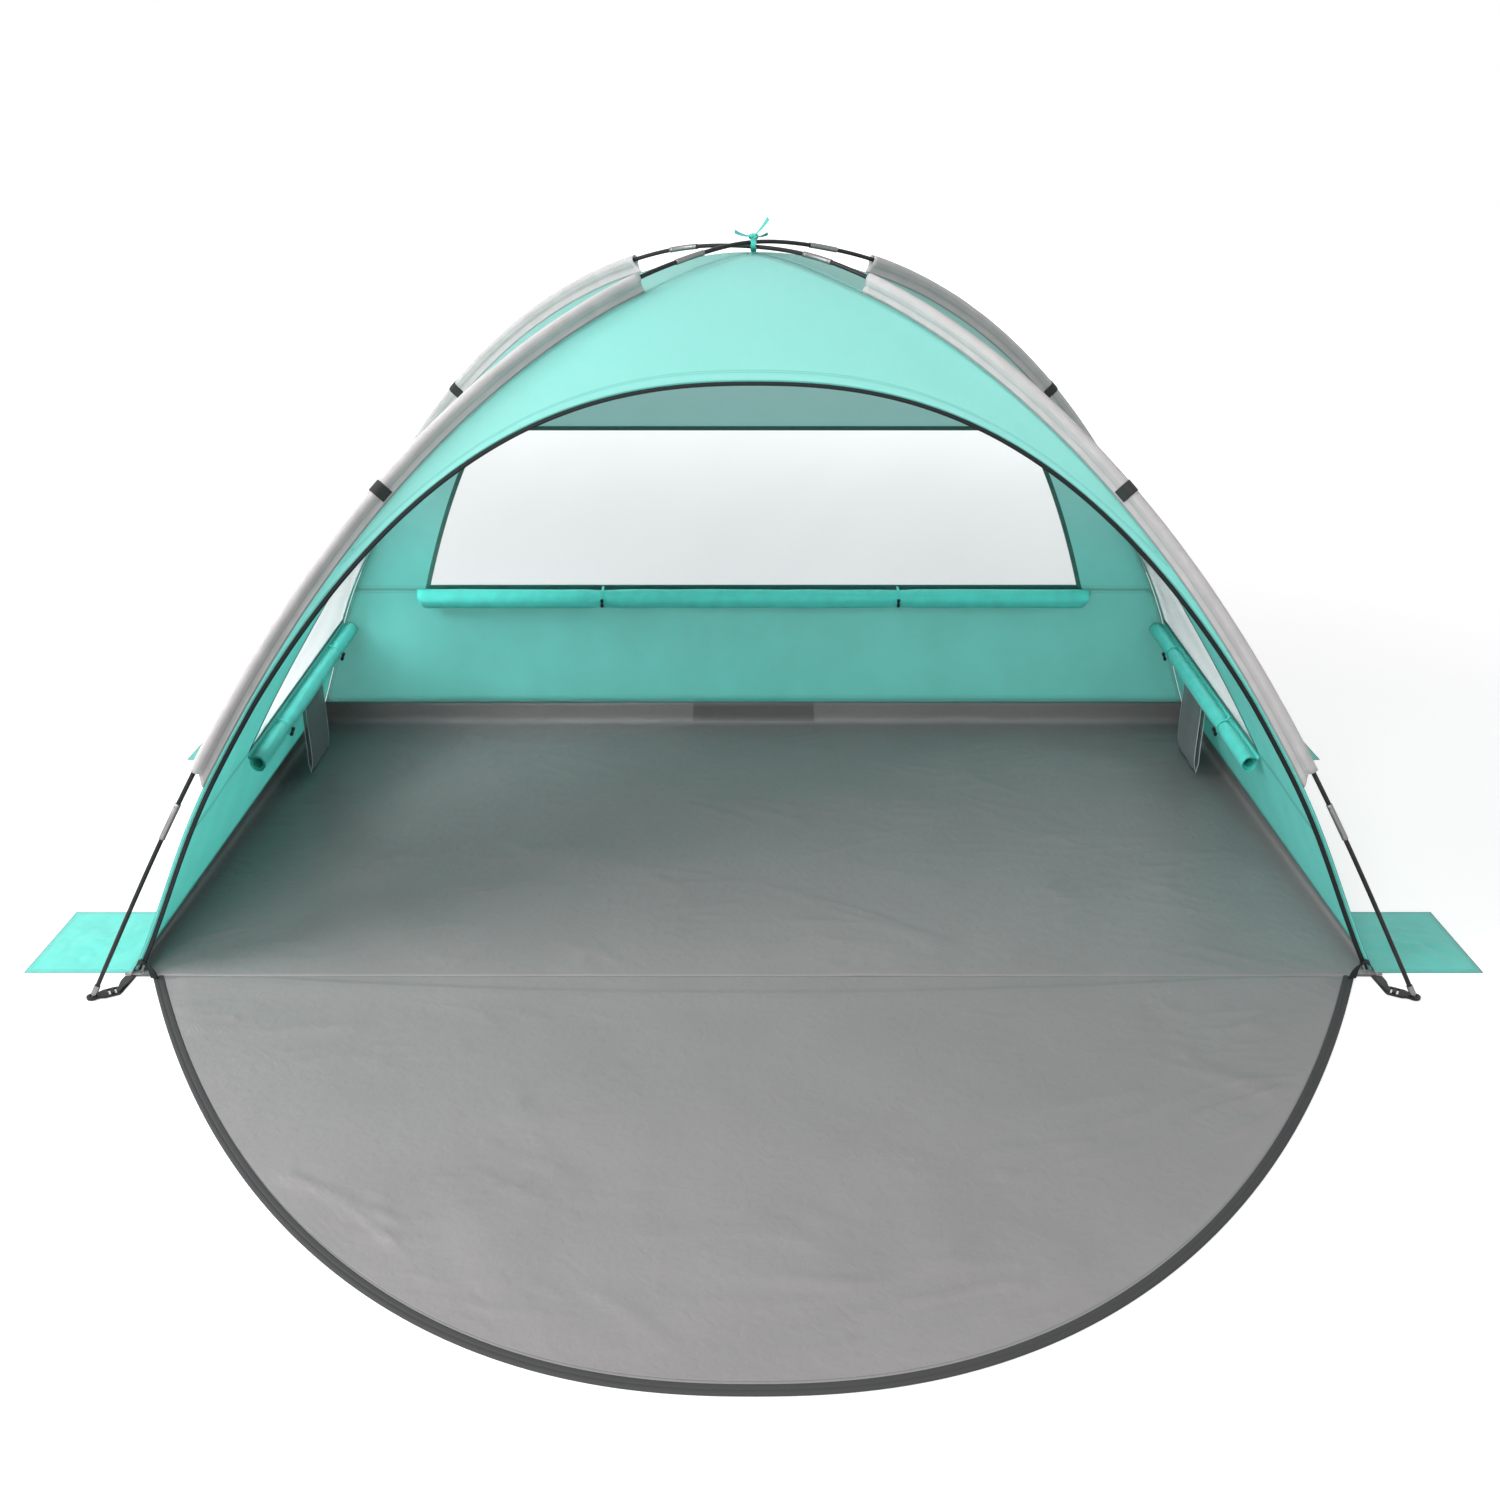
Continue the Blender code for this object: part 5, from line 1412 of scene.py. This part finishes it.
class TENT_OT_poles(bpy.types.Operator):
    """Build the rods with their ferrules and finish the metal tips"""

    bl_idname = "tent.poles"
    bl_label = "Poles"

    def execute(self, context):
        fittings = context.scene.tent_fittings
        samples, ferrules_to_a_side = 900, 5
        tip_length, tip_depth = 0.0107, 0.020
        for side, name in ((-1, "front_left_to_rear_right"), (1, "front_right_to_rear_left")):
            points = [rod_point(mix(-1, 1, i / samples), side) for i in range(samples + 1)]
            run = running(points)

            def at(distance):
                low = min(bisect.bisect_right(run, distance), samples) - 1
                return mix(points[low], points[low + 1], (distance - run[low]) / (run[low + 1] - run[low]))

            start = tip_length + tip_depth + gap
            spots = spread(start, run[-1] - start, fittings.rod_points)
            rod = self.tube(name + "_rod_tube", [[(at(s), rod_radius) for s in spots]], "rod")
            place_piece(rod, "tent", [name + "_rod"])
            middle = run[samples // 2]
            splines = []
            for i in range(ferrules_to_a_side):
                for way in (-1, 1):
                    centre_at = middle + way * (i + 0.5) * fittings.section
                    half = fittings.ferrule_length / 2
                    groove = ((0, 0.86), (0.0004, 1.0), (0.008, 1.0), (0.0085, 0.965), (0.0095, 0.965), (0.010, 1.0))
                    shape = [(a - half, r) for a, r in groove]
                    shape += [(0, 1.0)] + [(-a, r) for a, r in reversed(shape)]
                    splines.append([(at(centre_at + a), fittings.ferrule_radius * r) for a, r in shape])
            ferrules = self.tube(name + "_ferrules", splines, "metal")
            place_piece(ferrules, "tent")
        dress("pole_tip", "metal")
        return {"FINISHED"}

    def tube(self, name, splines, look):
        """Round tubes through lists of points, each with its own radius."""
        curve = bpy.data.curves.new(name, "CURVE")
        curve.dimensions = "3D"
        curve.bevel_depth = 1
        curve.bevel_resolution = 4
        curve.use_fill_caps = True
        for stations in splines:
            spline = curve.splines.new("POLY")
            spline.points.add(len(stations) - 1)
            spline.use_smooth = True
            for spot, (point, radius) in zip(spline.points, stations):
                spot.co = (*point, 1)
                spot.radius = radius
        curve.materials.append(finishes()[look])
        return bpy.data.objects.new(name, curve)


class TENT_OT_corners(bpy.types.Operator):
    """Build the corner webbing and finish the plastic feet"""

    bl_idname = "tent.corners"
    bl_label = "Corners"

    def execute(self, context):
        foot_length, foot_thickness, foot_bar, foot_lift = 0.0473, 0.0045, 0.0035, 0.0022
        thick, slope = 0.0012, 0.010
        for side, end, name in corners:
            ground = pole_point(1, side, end)
            up = (pole_point(0.998, side, end) - ground).normalized()
            eye = ground + up * (foot_lift + foot_thickness / 2) / up.z
            eye.z = foot_lift
            corner = Vector((side * floor_width / 2, end * floor_depth / 2, foot_lift))
            toward = corner + Vector((0, end * 0.056, 0)) - eye
            toward.normalize()
            bar = eye + toward * (foot_length - foot_bar / 2)
            pull = corner - bar
            reach = pull.length - gap
            pull.normalize()
            bar_side = Vector((-toward.y, toward.x, 0))
            end_side = Vector((-pull.y, pull.x, 0))
            if bar_side.dot(end_side) < 0:
                end_side = -end_side
            clear = gap + thick / 2
            half = foot_bar / 2
            over = foot_thickness + clear
            back = -half - clear
            spots = [(reach, thick + gap - clear), (reach * 0.6, over * 0.6), (slope + half, over), (half, over)]
            spots += [(-half, over), (back, foot_thickness), (back, foot_thickness / 2), (back, 0.0003)]
            spots += [(-half, -clear), (half, -clear), (reach * 0.5, -clear), (reach, -clear)]
            path, sides = [], []
            for at, height in spots:
                spot = bar + (pull * at if at > half else toward * at)
                path.append(spot + Vector((0, 0, height)))
                sides.append(mix(bar_side, end_side, smooth(half, reach, at)).normalized())
            strap(name + "_webbing_strap", path, sides, 0.0198, thick, "webbing",
                  [name + "_webbing"], 3)
        dress("_foot", "plastic")
        return {"FINISHED"}


class TENT_OT_zips(bpy.types.Operator):
    """Finish the zip sliders and their pulls"""

    bl_idname = "tent.zips"
    bl_label = "Zip sliders"

    def execute(self, context):
        dress("zip_slider", "dark metal")
        dress("zip_pull", "metal")
        return {"FINISHED"}


class TENT_OT_apex_tie(bpy.types.Operator):
    """Build the strip that ties the rods together where they cross"""

    bl_idname = "tent.apex_tie"
    bl_label = "Apex tie"

    def execute(self, context):
        t = halve(-0.06, 0.06, 40, lambda t: rod_point(t, -1).x < 0)
        middle = Vector((0, rod_point(t, -1).y, crossing_height))
        deep, tall, thick, wide_loop = 0.0145, 0.0108, 0.0012, 0.011
        knot_size = (0.0098, 0.0060, 0.0066)
        sideways = Vector((1, 0, 0))
        loop = []
        for i in range(25):
            angle = 2 * math.pi * i / 24 + math.pi / 2
            out, up = (deep + thick / 2) * math.cos(angle), (tall + thick / 2) * math.sin(angle)
            loop.append(middle + Vector((0, out, up)))

        def crumple(share, across):
            return Vector((0.0008 * math.sin(share * 40), 0, 0.0006 * math.sin(across * 14)))

        strap("apex_tie_loop", loop, [sideways] * len(loop), wide_loop, thick, "apex",
              ["apex_tie"], 2, crumple)
        base = crossing_height - apex_drop + gap
        stem = ((-0.009, base + 0.0008), (-0.003, base + 0.0012), (middle.y, base + 0.003),
                (middle.y, crossing_height - tall))
        strap("apex_tie_stem", [Vector((0, y, z)) for y, z in stem], [sideways] * 4, wide_loop, thick, "apex",
              (), 3)
        patch = 0.018

        def place_patch(column, row):
            a, b = column / 8 - 0.5, row / 8 - 0.5
            point = Vector((a * patch, b * patch, base + 0.0010 - 0.002 * (a * a + b * b)))
            return point, (a * patch, b * patch), {"seam": patch * (0.5 - max(abs(a), abs(b))), "run": a * patch}

        cloth_piece("apex_tie_patch", cloth_grid(9, 9, place_patch), "apex", 0.0010, (),
                    Vector((0, 0, 0)))
        knot_at = middle + Vector((0, -deep / 4, tall + 0.0045))
        bm = bmesh.new()
        bmesh.ops.create_icosphere(bm, subdivisions=4, radius=1)
        for vert in bm.verts:
            twist = math.atan2(vert.co.z, vert.co.y)
            fold = 0.10 * math.sin(twist * 5 + vert.co.x * 5) + 0.06 * ripple(vert.co, 0.5, 120)
            waist = 1 - 0.22 * math.exp(-((vert.co.x / 0.25) ** 2))
            vert.co = vert.co * (1 + fold) * waist
        bmesh.ops.scale(bm, vec=knot_size, verts=bm.verts[:])
        bmesh.ops.translate(bm, vec=knot_at, verts=bm.verts[:])
        bm.loops.layers.uv.new("cloth")
        place_piece(mesh_object("apex_tie_knot", bm, "apex"), "tent")
        tails = {"left": (-0.038, -0.004, 0.009), "right": (0.029, -0.003, 0.005), "up": (0.030, 0.000, 0.034)}
        for label, tip in tails.items():
            reach = Vector(tip)
            wide = reach.cross(Vector((0, 1, 0))).normalized().cross(reach).normalized()
            turn = 1 if label == "up" else -1
            shares = (0, 0.2, 0.4, 0.6, 0.8, 1)
            path = [knot_at + reach * s + Vector((0, 0, -0.003 * math.sin(math.pi * s))) for s in shares]
            sides = [Matrix.Rotation(0.5 * i * turn / 5, 3, reach) @ wide for i in range(6)]

            def cup(share, across):
                narrow = -0.45 * across * 0.008 * (1 - smooth(0, 0.35, share))
                return wide * narrow + Vector((0, 0, 0.0035 * across * across))

            strap("apex_tie_" + label + "_end", path, sides, 0.0135, 0.0008, "apex", (), 4, cup)
        return {"FINISHED"}


def seen_rays(w):
    """1 for rays that show the background straight, mirrored or through film."""
    path = w.tree.nodes.new("ShaderNodeLightPath")
    mirrored = w.math("MAXIMUM", path.outputs["Is Glossy Ray"], path.outputs["Is Transmission Ray"])
    return w.math("MAXIMUM", path.outputs["Is Camera Ray"], mirrored)


class TENT_OT_stage(bpy.types.Operator):
    """Lay the ground and set the camera and the lights"""

    bl_idname = "tent.stage"
    bl_label = "Stage"

    def execute(self, context):
        scene, stage = context.scene, context.scene.tent_stage
        picture_width, glow_from, glow_to = 1500, 2.0, 7.0
        bm = bmesh.new()
        bmesh.ops.create_grid(bm, x_segments=2, y_segments=2, size=30)
        mesh = bpy.data.meshes.new("studio_ground")
        bm.to_mesh(mesh)
        bm.free()
        material = bpy.data.materials.new("studio ground")
        material.use_nodes = True
        w = Wiring(material.node_tree)
        shader = material.node_tree.nodes["Principled BSDF"]
        shader.inputs["Base Color"].default_value = (*stage.ground, 1)
        shader.inputs["Roughness"].default_value = 0.9
        shader.inputs["Specular IOR Level"].default_value = 0.1
        shader.inputs["Emission Color"].default_value = (1, 1, 1, 1)
        x, y, _ = w.parts(w.object_place())
        away = w.math("SQRT", w.plus(w.times(x, x), w.times(y, y)))
        glow = w.plus(w.times(w.between(away, glow_from, glow_to), 1 - stage.glow), stage.glow)
        w.link(w.times(seen_rays(w), glow), shader.inputs["Emission Strength"])
        mesh.materials.append(material)
        ground = bpy.data.objects.new("studio_ground", mesh)
        scene.collection.objects.link(ground)

        world = bpy.data.worlds.new("studio")
        world.use_nodes = True
        scene.world = world
        w = Wiring(world.node_tree)
        strength = w.plus(w.times(seen_rays(w), 1 - stage.sky), stage.sky)
        back = world.node_tree.nodes["Background"]
        back.inputs["Color"].default_value = (1, 1, 1, 1)
        w.link(strength, back.inputs["Strength"])

        for name, power, place, aim in (
            ("key_lamp", stage.key, (-3.0, -1.6, 2.6), (-0.5, -0.8, 0.1)),
            ("fill_lamp", stage.fill, (-0.9, -4.2, 3.4), (0, -0.5, 0.1)),
        ):
            lamp = bpy.data.lights.new(name, "AREA")
            lamp.energy, lamp.size = power, 2.0
            thing = bpy.data.objects.new(name, lamp)
            scene.collection.objects.link(thing)
            thing.location = place
            thing.rotation_euler = (Vector(aim) - Vector(place)).to_track_quat("-Z", "Y").to_euler()

        camera = bpy.data.cameras.new("camera")
        camera.sensor_width = 36
        camera.lens = stage.lens
        camera.shift_x = -3.5 / picture_width
        thing = bpy.data.objects.new("camera", camera)
        scene.collection.objects.link(thing)
        thing.location = (0, -stage.camera_distance, stage.camera_height)
        thing.rotation_euler = (math.pi / 2 - stage.camera_tilt, 0, 0)
        scene.camera = thing
        scene.view_settings.view_transform = "Standard"
        return {"FINISHED"}


class TENT_PT_panel(bpy.types.Panel):
    """Lists the tent's pieces and settings"""

    bl_idname = "TENT_PT_panel"
    bl_label = "Beach tent"
    bl_space_type = "VIEW_3D"
    bl_region_type = "UI"
    bl_category = "Beach tent"

    def draw(self, context):
        scene = context.scene
        for title in ("cloth", "fittings", "stage"):
            group = getattr(scene, "tent_" + title)
            box = self.layout.box()
            box.label(text=title.capitalize())
            for name in group.__annotations__:
                box.prop(group, name)
        for operator in operators:
            self.layout.operator(operator.bl_idname)


operators = (
    TENT_OT_stage,
    TENT_OT_floor,
    TENT_OT_door_mat,
    TENT_OT_walls,
    TENT_OT_windows,
    TENT_OT_doorway,
    TENT_OT_window_rolls,
    TENT_OT_pockets,
    TENT_OT_sleeves,
    TENT_OT_poles,
    TENT_OT_corners,
    TENT_OT_zips,
    TENT_OT_apex_tie,
)
groups = (ClothSettings, FittingSettings, StageSettings)


def register():
    for item in groups + operators + (TENT_PT_panel,):
        bpy.utils.register_class(item)
    bpy.types.Scene.tent_cloth = bpy.props.PointerProperty(type=ClothSettings)
    bpy.types.Scene.tent_fittings = bpy.props.PointerProperty(type=FittingSettings)
    bpy.types.Scene.tent_stage = bpy.props.PointerProperty(type=StageSettings)


def unregister():
    del bpy.types.Scene.tent_cloth
    del bpy.types.Scene.tent_fittings
    del bpy.types.Scene.tent_stage
    for item in reversed(groups + operators + (TENT_PT_panel,)):
        bpy.utils.unregister_class(item)


def main():
    register()
    for operator in operators:
        prefix, name = operator.bl_idname.split(".")
        getattr(getattr(bpy.ops, prefix), name)()


if __name__ == "__main__":
    main()
